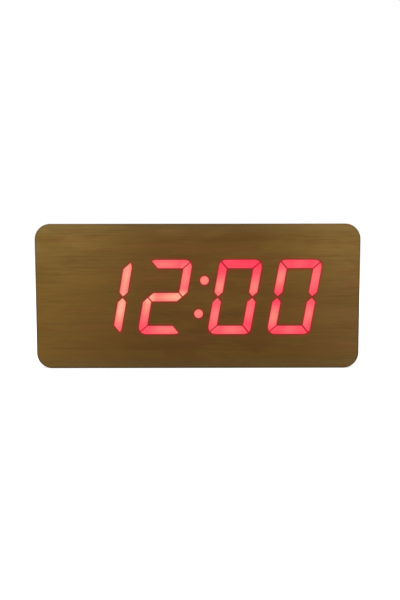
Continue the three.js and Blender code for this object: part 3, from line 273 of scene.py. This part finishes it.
def wood(name, with_glow):
    """A pressed wood-grain skin. The grain runs along X on the front and rear faces, and round
    the outside of the block between them."""
    s = Shader(name, specular=0.1)

    # How far a point lies towards the front or rear face, and towards the outline, whose reach
    # from the centres of the block's corners is CORNER_RADIUS
    depth = s.math("ABSOLUTE", s.y)
    on_face = s.spread(depth, *FACE_GRAIN)
    from_mid_height = s.math("ABSOLUTE", s.math("SUBTRACT", s.z, HEIGHT / 2))
    past_corner_x = s.math("SUBTRACT", s.math("ABSOLUTE", s.x), HALF_WIDTH - CORNER_RADIUS)
    past_corner_z = s.math("SUBTRACT", from_mid_height, HEIGHT / 2 - CORNER_RADIUS)
    outward = s.join(s.math("MAXIMUM", past_corner_x, 0.0), 0.0, s.math("MAXIMUM", past_corner_z, 0.0))
    reach = s.vector_math("LENGTH", outward)

    def grain(length, width, detail=2.0, roughness=0.6, cut=3.7):
        """Noise drawn out along the grain. The flat faces show one cut through it."""
        along = s.math("MULTIPLY", s.x, 1 / length)
        up = s.math("MULTIPLY", s.z, 1 / width)
        face = s.join(along, cut, up)
        band = s.join(along, s.math("MULTIPLY", s.y, 1 / width), s.math("MULTIPLY", s.z, 1 / length))
        return s.noise(s.mix(on_face, band, face), detail=detail, roughness=roughness)

    fibres = grain(length=9, width=0.45)
    streaks = grain(length=40, width=1.0, detail=3.0)
    pores = grain(length=26, width=0.5)
    bands = grain(length=120, width=7)
    olive = grain(length=34, width=13, roughness=0.5, cut=-1.05)
    red = grain(length=26, width=5, roughness=0.5, cut=-2.625)

    # Broad colours, with painted light and shade in them: darkest near the middle and at the foot, palest at
    # the upper ends
    # Painted light: paler towards the ends and darker in the middle, as light reflected at the ends would
    # make it
    side = s.spread(s.math("ABSOLUTE", s.math("SUBTRACT", s.x, DARKEST_X)), *FROM_DARKEST)
    lit_end_colour = s.mix(s.spread(s.x, *RIGHT_END), WOOD_LIT_END, WOOD_LIT_RIGHT_END)
    colour = s.mix(side, WOOD_MIDDLE, lit_end_colour)
    # Painted light: the upper ends paler, as if lit from above
    colour = s.mix(s.math("MULTIPLY", s.spread(s.z, *UPPER_PART), side), colour, WOOD_LIT_UPPER_END)
    colour = s.mix(s.spread(olive, 0.48, 0.64, to_high=0.5), colour, WOOD_OLIVE_PATCH)
    colour = s.mix(s.spread(red, 0.55, 0.7, to_high=0.4), colour, WOOD_RED_PATCH)
    # Painted shade: darker towards the bottom, as the light falls off
    colour = s.shade(colour, s.spread(s.z, *SHADED_HEIGHT, to_low=0.84, to_high=1.06, smooth=False))

    # Fine grain: light and dark lines, and dark pores that are fainter in the pale bands
    for layer, darkest, lightest in ((bands, 0.94, 1.06), (streaks, 0.96, 1.045), (fibres, 0.915, 1.075)):
        colour = s.shade(colour, s.spread(layer, *NOISE_RANGE, darkest, lightest, smooth=False))
    in_band = s.spread(bands, 0.42, 0.58, to_low=1, to_high=0.3)
    pore = s.math("MULTIPLY", s.spread(pores, 0.48, 0.62), in_band)
    colour = s.mix(s.math("MULTIPLY", pore, 0.32), colour, WOOD_PORE)

    # Towards the edges the wood is a little greyer with a painted sheen, and its rim is dark with painted
    # shade
    # Painted sheen: a paler grey towards the top and bottom edges, as light catches them
    colour = s.mix(s.spread(from_mid_height, *SHEEN_FROM_MID_HEIGHT, to_high=0.14), colour, WOOD_PAINTED_SHEEN)
    # Painted shade on the rounded rim, lessened near the top where light falls on it from above
    rim = s.math("MULTIPLY", s.spread(depth, *RIM_DEPTH), s.spread(reach, *RIM_REACH))
    rim_shade_share = s.spread(s.z, *PALER_RIM_HEIGHT, to_low=0.5, to_high=0.25)
    colour = s.mix(s.math("MULTIPLY", rim, rim_shade_share), colour, WOOD_RIM_SHADE)

    if with_glow:
        glow = s.attribute("glow")
        left = s.math("SUBTRACT", 1.0, s.math("MULTIPLY", glow, HIDDEN_BY_GLOW), clamp=True)
        colour = s.shade(colour, left)
        in_web = s.spread(glow, *WEB_GLOW, to_high=WEB_STRENGTH, smooth=False)
        s.set("Emission Color", SPILLED_LIGHT)
        s.set("Emission Strength", s.math("ADD", s.math("MULTIPLY", glow, GLOW_STRENGTH), in_web))
    s.set("Base Color", colour)
    s.set("roughness", s.spread(streaks, *NOISE_RANGE, to_low=0.46, to_high=0.6))
    fine = s.math("MULTIPLY", s.math("SUBTRACT", fibres, pore), 0.6)
    s.bump(s.math("ADD", streaks, fine), depth_mm=0.04)
    return s.material


# One lamp behind each lit stroke and dot, as seen from the front: its place across and up from the
# middle of the display before the slant, how far its pale spot reaches each way, and its strength.
LAMPS = [
    (-48, 16, 7, 21, 0.88), (-48, -8, 7, 22, 0.99),
    (-25, 21, 20, 7, 0.50), (-10, 12, 7, 19, 0.62), (-15.5, 0, 25, 7, 0.91), (-16, -21, 22, 7, 0.56),
    (-31.5, -5, 7, 19, 0.79),
    (2.4, 10.7, 9, 9, 0.66), (2.4, -10.7, 9, 9, 0.62),
    (13, 21, 13, 7, 0.05), (35, 7, 7, 15, 0.58), (35, -9, 7, 11, 0.43), (25, -21, 15, 7, 0.48),
    (13, -12, 7, 15, 0.54), (13, 6.5, 7, 13, 0.70),
    (62, 21, 9, 7, 0.25), (73, 12, 7, 18, 0.48), (73, -11, 7, 13, 0.57), (63, -21, 13, 7, 0.35),
    (51, -12.5, 7, 13, 0.65), (51, 12.5, 7, 14, 0.67),
]


def glow_lens():
    """Red light in a moulded lens: each stroke is palest near its lamp."""
    s = Shader("glow_lens", roughness=0.4, specular=0.1)
    s.set("Base Color", LENS_BODY)
    up = s.math("SUBTRACT", s.z, DISPLAY_Z)
    upright = s.math("SUBTRACT", s.x, s.math("MULTIPLY", up, SLANT))
    uneven = s.noise(s.place, scale=0.11, detail=1.0)
    heat = s.spread(uneven, *NOISE_RANGE, to_low=0.01, to_high=0.09)
    for across, height, reach_across, reach_up, strength in LAMPS:
        offset = s.join(
            s.math("MULTIPLY", s.math("SUBTRACT", upright, across), 1 / reach_across),
            0.0,
            s.math("MULTIPLY", s.math("SUBTRACT", up, height), 1 / reach_up),
        )
        spot = s.spread(s.vector_math("LENGTH", offset), 0.0, 1.0, to_low=strength, to_high=0.0)
        heat = s.math("ADD", heat, spot)
    fibres = s.noise(s.vector_math("MULTIPLY", s.place, (1 / 9, 0.0, 1 / 0.9)))
    through_fibres = s.spread(fibres, *NOISE_RANGE, to_low=0.93, to_high=1.02, smooth=False)
    s.set("Emission Color", s.shade(s.ramp(heat, LENS_LIGHT), through_fibres))
    s.set("Emission Strength", 1.0)
    s.bump(fibres, depth_mm=0.01)
    return s.material


def moulded(name, colour, roughness, grain_mm, depth_mm, specular=0.4):
    """Moulded plastic with a fine eroded texture, slightly uneven gloss and a little dust."""
    cloud_mm, dust_mm, speck_mm = 22, 1.7, 0.9
    s = Shader(name, specular=specular)
    grain = s.noise(s.place, scale=1 / grain_mm)
    clouds = s.noise(s.place, scale=1 / cloud_mm, detail=3.0)
    dust = s.noise(s.place, scale=1 / dust_mm, detail=4.0, roughness=0.7)
    speck = s.noise(s.place, scale=1 / speck_mm)
    base = s.mix(s.spread(clouds, 0.35, 0.7), srgb(*colour), lighter(colour, 7))
    base = s.mix(s.spread(dust, 0.66, 0.8, to_high=0.12), base, DUST)
    s.set("Base Color", s.shade(base, s.spread(speck, 0.35, 0.65, to_low=0.86, to_high=1.12)))
    s.set("roughness", s.spread(clouds, *NOISE_RANGE, roughness - 0.07, roughness + 0.07))
    s.bump(grain, depth_mm)
    return s.material


def tarnished(s, colour, scale):
    """The colour of a metal, dulled in soft patches."""
    dull = srgb(*[part * 0.78 for part in colour])
    patches = s.noise(s.place, scale=scale, detail=3.0)
    return s.mix(s.spread(patches, 0.4, 0.75, to_high=0.5), srgb(*colour), dull)


def metal(name, colour, roughness, stretch=(1.0, 1.0, 1.0)):
    """Bare or plated metal with fine drawing marks and faint tarnish."""
    s = Shader(name, metallic=1.0)
    marks = s.noise(s.vector_math("MULTIPLY", s.place, stretch), scale=3.0, detail=3.0)
    s.set("Base Color", tarnished(s, colour, scale=0.35))
    s.set("roughness", s.spread(marks, *NOISE_RANGE, roughness - 0.06, roughness + 0.1))
    s.bump(marks, depth_mm=0.008)
    return s.material


def microphone_can(name, colour):
    """A bare metal can with black felt in its port."""
    port_radius, port_depth = 1.12, 0.7
    can_roughness, felt_roughness = (0.3, 0.3, 0.3, 1), (0.95, 0.95, 0.95, 1)
    s = Shader(name)
    low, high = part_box("microphone")
    middle_x = (low.x + high.x) / 2 / MM
    middle_z = (low.z + high.z) / 2 / MM
    offset = s.join(s.math("SUBTRACT", s.x, middle_x), 0.0, s.math("SUBTRACT", s.z, middle_z))
    in_port = s.math("LESS_THAN", s.vector_math("LENGTH", offset), port_radius)
    near_mouth = s.math("GREATER_THAN", s.y, high.y / MM - port_depth)
    felt = s.math("MULTIPLY", in_port, near_mouth)
    fluff = s.noise(s.place, scale=9.0, detail=3.0)
    can = tarnished(s, colour, scale=0.8)
    s.set("Base Color", s.mix(felt, can, s.mix(fluff, FELT_DARK, FELT_LIGHT)))
    s.set("metallic", s.math("SUBTRACT", 1.0, felt))
    s.set("roughness", s.mix(felt, can_roughness, felt_roughness))
    s.bump(s.math("MULTIPLY", fluff, felt), depth_mm=0.05)
    return s.material


def circuit_board():
    """Green solder mask over copper tracks, with tinned pads on a grid of holes."""
    pitch, through_board = 2.54, 100
    half_track, pad_radius = 0.22, 0.42
    along_x_above, pads_above = 0.5, 0.56
    s = Shader("circuit_board", specular=0.5)
    grid = s.vector_math("SNAP", s.place, (pitch, through_board, pitch))
    pick = s.noise(grid, scale=0.37, detail=0.0)
    lines_x = s.math("PINGPONG", s.x, pitch / 2)
    lines_z = s.math("PINGPONG", s.z, pitch / 2)
    track_x = s.math("LESS_THAN", lines_x, half_track)
    track_z = s.math("LESS_THAN", lines_z, half_track)
    picked_x = s.math("MULTIPLY", track_x, s.math("GREATER_THAN", pick, along_x_above))
    picked_z = s.math("MULTIPLY", track_z, s.math("LESS_THAN", pick, along_x_above))
    track = s.math("ADD", picked_x, picked_z, clamp=True)
    from_hole = s.vector_math("LENGTH", s.join(lines_x, 0.0, lines_z))
    pad = s.math("LESS_THAN", from_hole, pad_radius)
    pad = s.math("MULTIPLY", pad, s.math("GREATER_THAN", pick, pads_above))
    s.set("Base Color", s.mix(pad, s.mix(track, BOARD_GREEN, TRACK_GREEN), PAD_TIN))
    s.set("metallic", pad)
    s.set("roughness", s.spread(s.noise(s.place, scale=0.6), *NOISE_RANGE, 0.28, 0.42))
    s.bump(track, depth_mm=0.035)
    return s.material


def ribbon():
    """Flat cable: ridges over its wires, with painted shade in the hollows and painted light on the ridges,
    and one marked edge.
    """
    wire_pitch, marked_width = 1.27, 1.2
    s = Shader("ribbon_cable", specular=0.4)
    low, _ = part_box("ribbon_cable")
    ridge = s.math("ABSOLUTE", s.math("SINE", s.math("MULTIPLY", s.x, math.pi / wire_pitch)))
    marked = s.math("LESS_THAN", s.x, low.x / MM + marked_width)
    # Painted shade in the hollows between wires, painted light on the ridges
    s.set("Base Color", s.mix(marked, s.mix(ridge, RIBBON_HOLLOW_SHADE, RIBBON_RIDGE_LIT), RIBBON_MARK))
    s.set("roughness", s.spread(s.noise(s.place, scale=1.5), *NOISE_RANGE, 0.42, 0.55))
    s.bump(ridge, depth_mm=0.12)
    return s.material


def cell_sleeve(number):
    """A cell's printed sleeve, with a pale band and line at its positive end, and bare metal ends."""
    nub_length, collar, end_radius = 1.25, 1.9, 4.75
    far_edge, far_recess = 0.06, 0.7
    band_end, line_place, half_line = 9.5, 11.2, 0.35
    s = Shader(f"cell_sleeve_{number}", specular=0.5)
    low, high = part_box(f"battery_cell_{number}")
    length = (high.x - low.x) / MM
    cell_y = (low.y + high.y) / 2 / MM
    cell_z = (low.z + high.z) / 2 / MM
    if number % 2 == 1:
        from_nub = s.math("SUBTRACT", s.x, low.x / MM)
    else:
        from_nub = s.math("SUBTRACT", high.x / MM, s.x)
    offset = s.join(0.0, s.math("SUBTRACT", s.y, cell_y), s.math("SUBTRACT", s.z, cell_z))
    inside = s.math("LESS_THAN", s.vector_math("LENGTH", offset), end_radius)

    def at_ends(near, far):
        """1 as far as near from the nub's end and as far as far from the other, and 0 between."""
        at_nub = s.math("LESS_THAN", from_nub, near)
        return s.math("MAXIMUM", at_nub, s.math("GREATER_THAN", from_nub, length - far))

    ends = s.math("MULTIPLY", at_ends(collar, far_recess), inside)
    bare = s.math("MAXIMUM", at_ends(nub_length, far_edge), ends)
    band = s.math("LESS_THAN", from_nub, band_end)
    line = s.math("LESS_THAN", s.math("ABSOLUTE", s.math("SUBTRACT", from_nub, line_place)), half_line)
    scuffs = s.noise(s.vector_math("MULTIPLY", s.place, (0.4, 2.0, 2.0)), detail=4.0, roughness=0.7)
    body = s.mix(s.spread(scuffs, 0.6, 0.8, to_high=0.25), SLEEVE_BLUE, SLEEVE_SCUFF)
    body = s.mix(s.math("MAXIMUM", band, line), body, SLEEVE_PALE)
    s.set("Base Color", s.mix(bare, body, CELL_METAL))
    s.set("metallic", bare)
    s.set("roughness", s.spread(scuffs, 0.3, 0.75, to_low=0.25, to_high=0.42))
    s.bump(scuffs, depth_mm=0.01)
    return s.material


def coloured_can(name, colour, roughness, stripe=None):
    """A small sleeve or cast body, in one colour with a faint mottle and an optional stripe."""
    s = Shader(name, specular=0.45)
    mottle = s.noise(s.place, scale=1.4, detail=4.0)
    base = s.mix(s.spread(mottle, 0.35, 0.7), srgb(*colour), lighter(colour, 12))
    if stripe is not None:
        low, high = stripe
        striped = s.math("MULTIPLY", s.math("GREATER_THAN", s.x, low), s.math("LESS_THAN", s.x, high))
        base = s.mix(striped, base, STRIPE_SILVER)
    s.set("Base Color", base)
    s.set("roughness", s.spread(mottle, *NOISE_RANGE, roughness - 0.05, roughness + 0.08))
    s.bump(mottle, depth_mm=0.02)
    return s.material


# Surfaces

def edge_rule(degrees):
    """Nodes that merge a frame mesh's split vertices and shade it smooth below an angle."""
    name = f"smooth_below_{degrees}"
    if name in bpy.data.node_groups:
        return bpy.data.node_groups[name]
    group = bpy.data.node_groups.new(name, "GeometryNodeTree")
    group.interface.new_socket("Geometry", in_out="INPUT", socket_type="NodeSocketGeometry")
    group.interface.new_socket("Geometry", in_out="OUTPUT", socket_type="NodeSocketGeometry")
    start = group.nodes.new("NodeGroupInput")
    weld = group.nodes.new("GeometryNodeMergeByDistance")
    weld.inputs["Distance"].default_value = WELD
    angle = group.nodes.new("GeometryNodeInputMeshEdgeAngle")
    compare = group.nodes.new("FunctionNodeCompare")
    compare.inputs[1].default_value = math.radians(degrees)
    normal = group.nodes.new("GeometryNodeSetMeshNormal")
    normal.inputs["Remove Custom"].default_value = True
    end = group.nodes.new("NodeGroupOutput")
    link = group.links.new
    link(start.outputs[0], weld.inputs["Geometry"])
    link(weld.outputs[0], normal.inputs["Mesh"])
    link(angle.outputs["Unsigned Angle"], compare.inputs[0])
    link(compare.outputs[0], normal.inputs["Edge Sharpness"])
    link(normal.outputs[0], end.inputs[0])
    return group


def keep_faces_flat(piece):
    """Leans the smooth shading towards a piece's larger faces."""
    weighted = piece.modifiers.new("weighted", "WEIGHTED_NORMAL")
    weighted.keep_sharp = True


def dress(material, *names, degrees=SMOOTH_BELOW, edge_mm=0.0):
    """Gives nodes of the frame a material, smooth shading and, with edge_mm, fine round edges."""
    for name in names:
        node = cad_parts[name]
        for slot in node.material_slots:
            slot.material = material
        smooth = node.modifiers.new("smooth", "NODES")
        smooth.node_group = edge_rule(degrees)
        if edge_mm:
            flat = node.modifiers.new("flat", "DECIMATE")
            flat.decimate_type = "DISSOLVE"
            flat.angle_limit = math.radians(COPLANAR_BELOW)
            bevel = node.modifiers.new("edges", "BEVEL")
            bevel.width = edge_mm * MM
            bevel.segments = 2
            bevel.limit_method = "ANGLE"
            bevel.angle_limit = math.radians(degrees)
            bevel.use_clamp_overlap = False
            bevel.harden_normals = False
        keep_faces_flat(node)


# The front skin with light on it

# Rings of points round each lit outline: their distance from it, and the spacing along them
GLOW_RINGS = ((0.25, 1.2), (0.6, 1.5), (1.1, 2.0), (1.8, 2.5), (2.8, 3.0))

# A ring point stays where other outlines are further off than this share of its own distance,
# and where none of the latest points before it is closer than CLOSEST_POINTS. A corner that turns
# by less than STRAIGHT_ON, in radians, counts as straight.
OTHERS_SHARE = 0.8
CLOSEST_POINTS = 0.12
LATEST_POINTS = 400
SAME_POINT = 1e-5
STRAIGHT_ON = 1e-4

# The light on the wood falls to 1/e of its strength over this distance from an outline
GLOW_FADE = 0.65


def seen_flat(vertex):
    """A vertex's place on the front, across and up."""
    return Vector((vertex.co.x, vertex.co.z)) / MM


def flat_distance(point, loop):
    """The distance in the plane from a point to the nearest side of a closed loop."""
    least = math.inf
    for index, start in enumerate(loop):
        end = loop[(index + 1) % len(loop)]
        along = end - start
        share = max(0.0, min(1.0, (point - start).dot(along) / along.length_squared))
        least = min(least, (point - start - along * share).length)
    return least


def is_inside(point, loop):
    """Whether a point in the plane lies inside a closed loop."""
    inside = False
    for index, start in enumerate(loop):
        end = loop[(index + 1) % len(loop)]
        if (start.y > point.y) != (end.y > point.y):
            cross = start.x + (point.y - start.y) / (end.y - start.y) * (end.x - start.x)
            if point.x < cross:
                inside = not inside
    return inside


def ring_points(loop, distance, spacing):
    """Points at one distance outside a convex loop, round its corners as well."""
    area = sum(a.x * b.y - b.x * a.y for a, b in zip(loop, loop[1:] + loop[:1]))
    turn = 1 if area > 0 else -1
    points = []
    for index, corner in enumerate(loop):
        before = (corner - loop[index - 1]).normalized()
        after = (loop[(index + 1) % len(loop)] - corner).normalized()
        out_before = Vector((before.y, -before.x)) * turn
        out_after = Vector((after.y, -after.x)) * turn
        sweep = out_before.angle(out_after, 0.0)
        steps = max(1, round(sweep * distance / spacing))
        for step in range(steps + 1):
            out = out_before.slerp(out_after, step / steps) if sweep > STRAIGHT_ON else out_before
            points.append(corner + out * distance)
        side = loop[(index + 1) % len(loop)] - corner
        count = int(side.length / spacing)
        for step in range(1, count):
            points.append(corner + side * (step / count) + out_after * distance)
    return points


def points_round_figures(outer, lit):
    """Points in rings round the lit outlines, without crowded ones and those that no wood carries."""
    spots = []
    for own, outline in enumerate(lit):
        for distance, spacing in GLOW_RINGS:
            for point in ring_points(outline, distance, spacing):
                others = [flat_distance(point, other) for index, other in enumerate(lit) if index != own]
                covered = any(is_inside(point, other) for other in lit)
                if not covered and min(others) > OTHERS_SHARE * distance and is_inside(point, outer):
                    spots.append(point)
    kept = []
    for point in spots:
        if all((point - other).length > CLOSEST_POINTS for other in kept[-LATEST_POINTS:]):
            kept.append(point)
    return kept


def front_loops(front_faces, edges):
    """The closed loops of vertices that bound the flat front, the widest one first."""
    inside = set(front_faces)
    neighbours = {}
    for edge in edges:
        if sum(face in inside for face in edge.link_faces) == 1:
            a, b = edge.verts
            neighbours.setdefault(a, []).append(b)
            neighbours.setdefault(b, []).append(a)
    loops, used = [], set()
    for start in sorted(neighbours, key=lambda vertex: vertex.index):
        if start in used:
            continue
        loop, here = [start], start
        used.add(start)
        while True:
            onward = [vertex for vertex in neighbours[here] if vertex not in used]
            if not onward:
                break
            here = onward[0]
            used.add(here)
            loop.append(here)
        loops.append(loop)
    loops.sort(key=lambda loop: max(v.co.x for v in loop) - min(v.co.x for v in loop), reverse=True)
    return loops


def refill_front(mesh, front, loops, outlines, extra):
    """Cuts the flat front into triangles again, with extra points in it."""
    outer, lit = outlines[0], outlines[1:]
    edge_verts = [vertex for loop in loops for vertex in loop]
    plane = [seen_flat(vertex) for vertex in edge_verts]
    sides, start = [], 0
    for loop in loops:
        count = len(loop)
        sides += [(start + index, start + (index + 1) % count) for index in range(count)]
        start += count
    points, _, faces, origins, _, _ = delaunay_2d_cdt(plane + extra, sides, [], 0, SAME_POINT)
    bmesh.ops.delete(mesh, geom=front, context="FACES_ONLY")
    corners = []
    for point, origin in zip(points, origins):
        known = [index for index in origin if index < len(edge_verts)]
        if known:
            corners.append(edge_verts[known[0]])
        else:
            corners.append(mesh.verts.new((point.x * MM, FRONT_Y, point.y * MM)))
    for face in faces:
        middle = sum((points[index] for index in face), Vector((0, 0))) / 3
        if not is_inside(middle, outer) or any(is_inside(middle, outline) for outline in lit):
            continue
        made = mesh.faces.new([corners[index] for index in face])
        made.normal_update()
        if made.normal.y > 0:
            made.normal_flip()
    loose = [vertex for vertex in mesh.verts if not vertex.link_faces]
    bmesh.ops.delete(mesh, geom=loose, context="VERTS")


def glowing_skin(material):
    """The front skin with a finer front face, on which light spills from the lit figures."""
    mesh = bmesh.new()
    mesh.from_mesh(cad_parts["front_skin"].data)
    bmesh.ops.remove_doubles(mesh, verts=mesh.verts, dist=WELD)
    mesh.verts.ensure_lookup_table()
    mesh.verts.index_update()
    front = [face for face in mesh.faces if all(v.co.y < FRONT_Y + FLAT_WITHIN for v in face.verts)]
    loops = front_loops(front, mesh.edges)
    outlines = [[seen_flat(vertex) for vertex in loop] for loop in loops]
    outer, lit = outlines[0], outlines[1:]
    refill_front(mesh, front, loops, outlines, points_round_figures(outer, lit))
    data = bpy.data.meshes.new("veneer_skin")
    mesh.to_mesh(data)
    mesh.free()

    values = []
    for vertex in data.vertices:
        if vertex.co.y > FRONT_Y + FLAT_WITHIN:
            values.append(0.0)
        else:
            point = seen_flat(vertex)
            values.append(sum(math.exp(-flat_distance(point, outline) / GLOW_FADE) for outline in lit))
    data.attributes.new("glow", "FLOAT", "POINT").data.foreach_set("value", values)
    for face in data.polygons:
        face.use_smooth = True
    data.set_sharp_from_angle(angle=math.radians(SMOOTH_BELOW))
    data.materials.append(material)
    skin = bpy.data.objects.new("veneer_skin", data)
    bpy.context.scene.collection.objects.link(skin)
    keep_faces_flat(skin)
    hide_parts("front_skin")
    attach(skin, "clock")


def numbered(pattern, count):
    """A node's name with each number from 1 to count in its place."""
    return [pattern.format(number) for number in range(1, count + 1)]


def finish_display():
    """The skin, the lenses and what lies behind them."""
    dress(wood("wood_case", with_glow=False), "wooden_case")
    glowing_skin(wood("wood_front", with_glow=True))
    dress(glow_lens(), *numbered("digit_{}_lens", 4), "colon_lens")
    mask = moulded("mask_black", (20, 20, 20), roughness=0.7, grain_mm=0.3, depth_mm=0.01)
    dress(mask, "segment_mask")
    white = moulded("reflector_white", (232, 230, 224), roughness=0.45, grain_mm=0.5, depth_mm=0.005)
    dress(white, "display_reflector")


def finish_electronics():
    """The boards with their parts, the cells, and the metal that joins them."""
    dress(circuit_board(), "display_board", "control_board")
    chip = coloured_can("chip_black", (26, 26, 28), roughness=0.5)
    dress(chip, "display_driver_chip", "control_chip", "buzzer")
    cream = moulded("connector_cream", (234, 226, 206), roughness=0.5, grain_mm=0.4, depth_mm=0.01)
    dress(cream, "display_header", "control_header")
    dress(ribbon(), "ribbon_cable")
    capacitor_low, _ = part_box("capacitor")
    can_side = capacitor_low.x / MM
    sleeve = coloured_can("capacitor_sleeve", (30, 32, 74), 0.35, stripe=(can_side - 1, can_side + 1.1))
    dress(sleeve, "capacitor")
    steel = metal("bare_steel", STEEL, roughness=0.32)
    dress(steel, *numbered("display_screw_{}", 4), *numbered("board_screw_{}", 2), "crystal", "sound_switch")
    dress(microphone_can("microphone_can", STEEL), "microphone")

    nickel = metal("contact_nickel", (206, 204, 198), roughness=0.24, stretch=(1.0, 1.0, 6.0))
    dress(nickel, "contact_positive", *numbered("contact_link_{}", 3), "contact_negative")
    wire = metal("spring_wire", (200, 201, 203), roughness=0.2)
    dress(wire, *numbered("battery_spring_{}", 4), degrees=SMOOTH_BELOW_ON_WIRE)
    for number in (1, 2, 3, 4):
        dress(cell_sleeve(number), f"battery_cell_{number}")
    red = coloured_can("lead_red", (168, 26, 24), roughness=0.4)
    dress(red, "battery_lead_positive", degrees=SMOOTH_BELOW_ON_LEADS)
    black = coloured_can("lead_black", (20, 20, 21), roughness=0.4)
    dress(black, "battery_lead_negative", degrees=SMOOTH_BELOW_ON_LEADS)


def finish_rear():
    """The cover and its door, the screws and the controls."""
    cover = moulded("cover_black", (25, 25, 26), roughness=0.5, grain_mm=0.35, depth_mm=0.035, specular=0.22)
    dress(cover, "rear_cover", "battery_door", edge_mm=0.12)
    dress(metal("screw_black", (52, 52, 55), roughness=0.36), *numbered("cover_screw_{}", 4), edge_mm=0.06)
    inner = moulded("switch_black", (38, 38, 40), roughness=0.5, grain_mm=0.4, depth_mm=0.01)
    control = moulded("control_black", (33, 33, 35), roughness=0.34, grain_mm=0.22, depth_mm=0.012,
                      specular=0.5)
    for name in ("set", "up", "down"):
        dress(control, f"{name}_button", edge_mm=0.1)
        dress(inner, f"{name}_plunger", f"{name}_switch")
    dress(control, "sound_switch_knob", edge_mm=0.15)
    dress(control, "power_jack", edge_mm=0.1)


# Stage, light and camera

WORLD_LIGHT = 0.55
FLOOR_GREY = (0.84, 0.84, 0.84, 1)
FLOOR_LIFT = 0.6
FLOOR_SIZE = 12.0
LAMP_TARGET = (0, 0, 0.05)
LAMP_SIZE = 0.8

# The camera fitted to the photograph: its focal length in pixels, place and turns in degrees
PHOTO_HEIGHT = 600
FOCAL_PIXELS = 642.0
SENSOR = 36.0
CAMERA_PLACE = (0.0004, FRONT_Y - 0.4106, 0.0768)
LOOKING_DOWN, ROLL, TURN = 4.53, 0.08, -0.15


def strength_by_ray(nodes, links, as_light, as_seen):
    """One strength for the light that a surface gives, and one for the camera and reflections."""
    path = nodes.new("ShaderNodeLightPath")
    seen = path.outputs["Is Camera Ray"]
    for name in ("Is Glossy Ray", "Is Transmission Ray"):
        either = nodes.new("ShaderNodeMath")
        either.operation = "MAXIMUM"
        links.new(seen, either.inputs[0])
        links.new(path.outputs[name], either.inputs[1])
        seen = either.outputs[0]
    level = nodes.new("ShaderNodeMapRange")
    level.inputs["To Min"].default_value = as_light
    level.inputs["To Max"].default_value = as_seen
    links.new(seen, level.inputs["Value"])
    return level.outputs[0]


def make_world():
    """Even light from all round, seen as plain white."""
    world = bpy.data.worlds.new("studio")
    bpy.context.scene.world = world
    world.use_nodes = True
    nodes, links = world.node_tree.nodes, world.node_tree.links
    background = next(node for node in nodes if node.type == "BACKGROUND")
    background.inputs["Color"].default_value = (1, 1, 1, 1)
    links.new(strength_by_ray(nodes, links, WORLD_LIGHT, 1.0), background.inputs["Strength"])


def make_floor():
    """A plain pale floor, with a lift for the camera that leaves the shadow on it."""
    material = bpy.data.materials.new("floor_white")
    material.use_nodes = True
    nodes, links = material.node_tree.nodes, material.node_tree.links
    nodes.clear()
    matt = nodes.new("ShaderNodeBsdfDiffuse")
    matt.inputs["Color"].default_value = FLOOR_GREY
    lift = nodes.new("ShaderNodeEmission")
    links.new(strength_by_ray(nodes, links, 0.0, FLOOR_LIFT), lift.inputs["Strength"])
    both = nodes.new("ShaderNodeAddShader")
    links.new(matt.outputs[0], both.inputs[0])
    links.new(lift.outputs[0], both.inputs[1])
    links.new(both.outputs[0], nodes.new("ShaderNodeOutputMaterial").inputs["Surface"])
    bpy.ops.mesh.primitive_plane_add(size=FLOOR_SIZE, location=(0, 0, 0))
    floor = bpy.context.object
    floor.name = "floor"
    floor.data.materials.append(material)


def make_lamp(name, place, watts):
    """A square studio lamp that points at the clock."""
    light = bpy.data.lights.new(name, "AREA")
    light.shape = "SQUARE"
    light.size = LAMP_SIZE
    light.energy = watts
    lamp = bpy.data.objects.new(name, light)
    bpy.context.scene.collection.objects.link(lamp)
    lamp.location = place
    lamp.rotation_euler = (Vector(LAMP_TARGET) - Vector(place)).to_track_quat("-Z", "Y").to_euler()


def make_camera():
    """Where the photograph was taken from: close in, a little below the top, aimed a little down."""
    data = bpy.data.cameras.new("camera")
    data.sensor_width = SENSOR
    data.lens = FOCAL_PIXELS / PHOTO_HEIGHT * SENSOR
    data.clip_start = 0.01
    camera = bpy.data.objects.new("camera", data)
    bpy.context.scene.collection.objects.link(camera)
    camera.location = CAMERA_PLACE
    camera.rotation_euler = (math.radians(90 - LOOKING_DOWN), math.radians(ROLL), math.radians(TURN))
    bpy.context.scene.camera = camera


bpy.context.scene.view_settings.view_transform = "Standard"
finish_display()
finish_electronics()
finish_rear()
make_world()
make_floor()
make_lamp("key", place=(-0.35, -0.75, 0.80), watts=5.0)
make_lamp("rim", place=(0.45, 0.70, 0.75), watts=4.0)
make_camera()
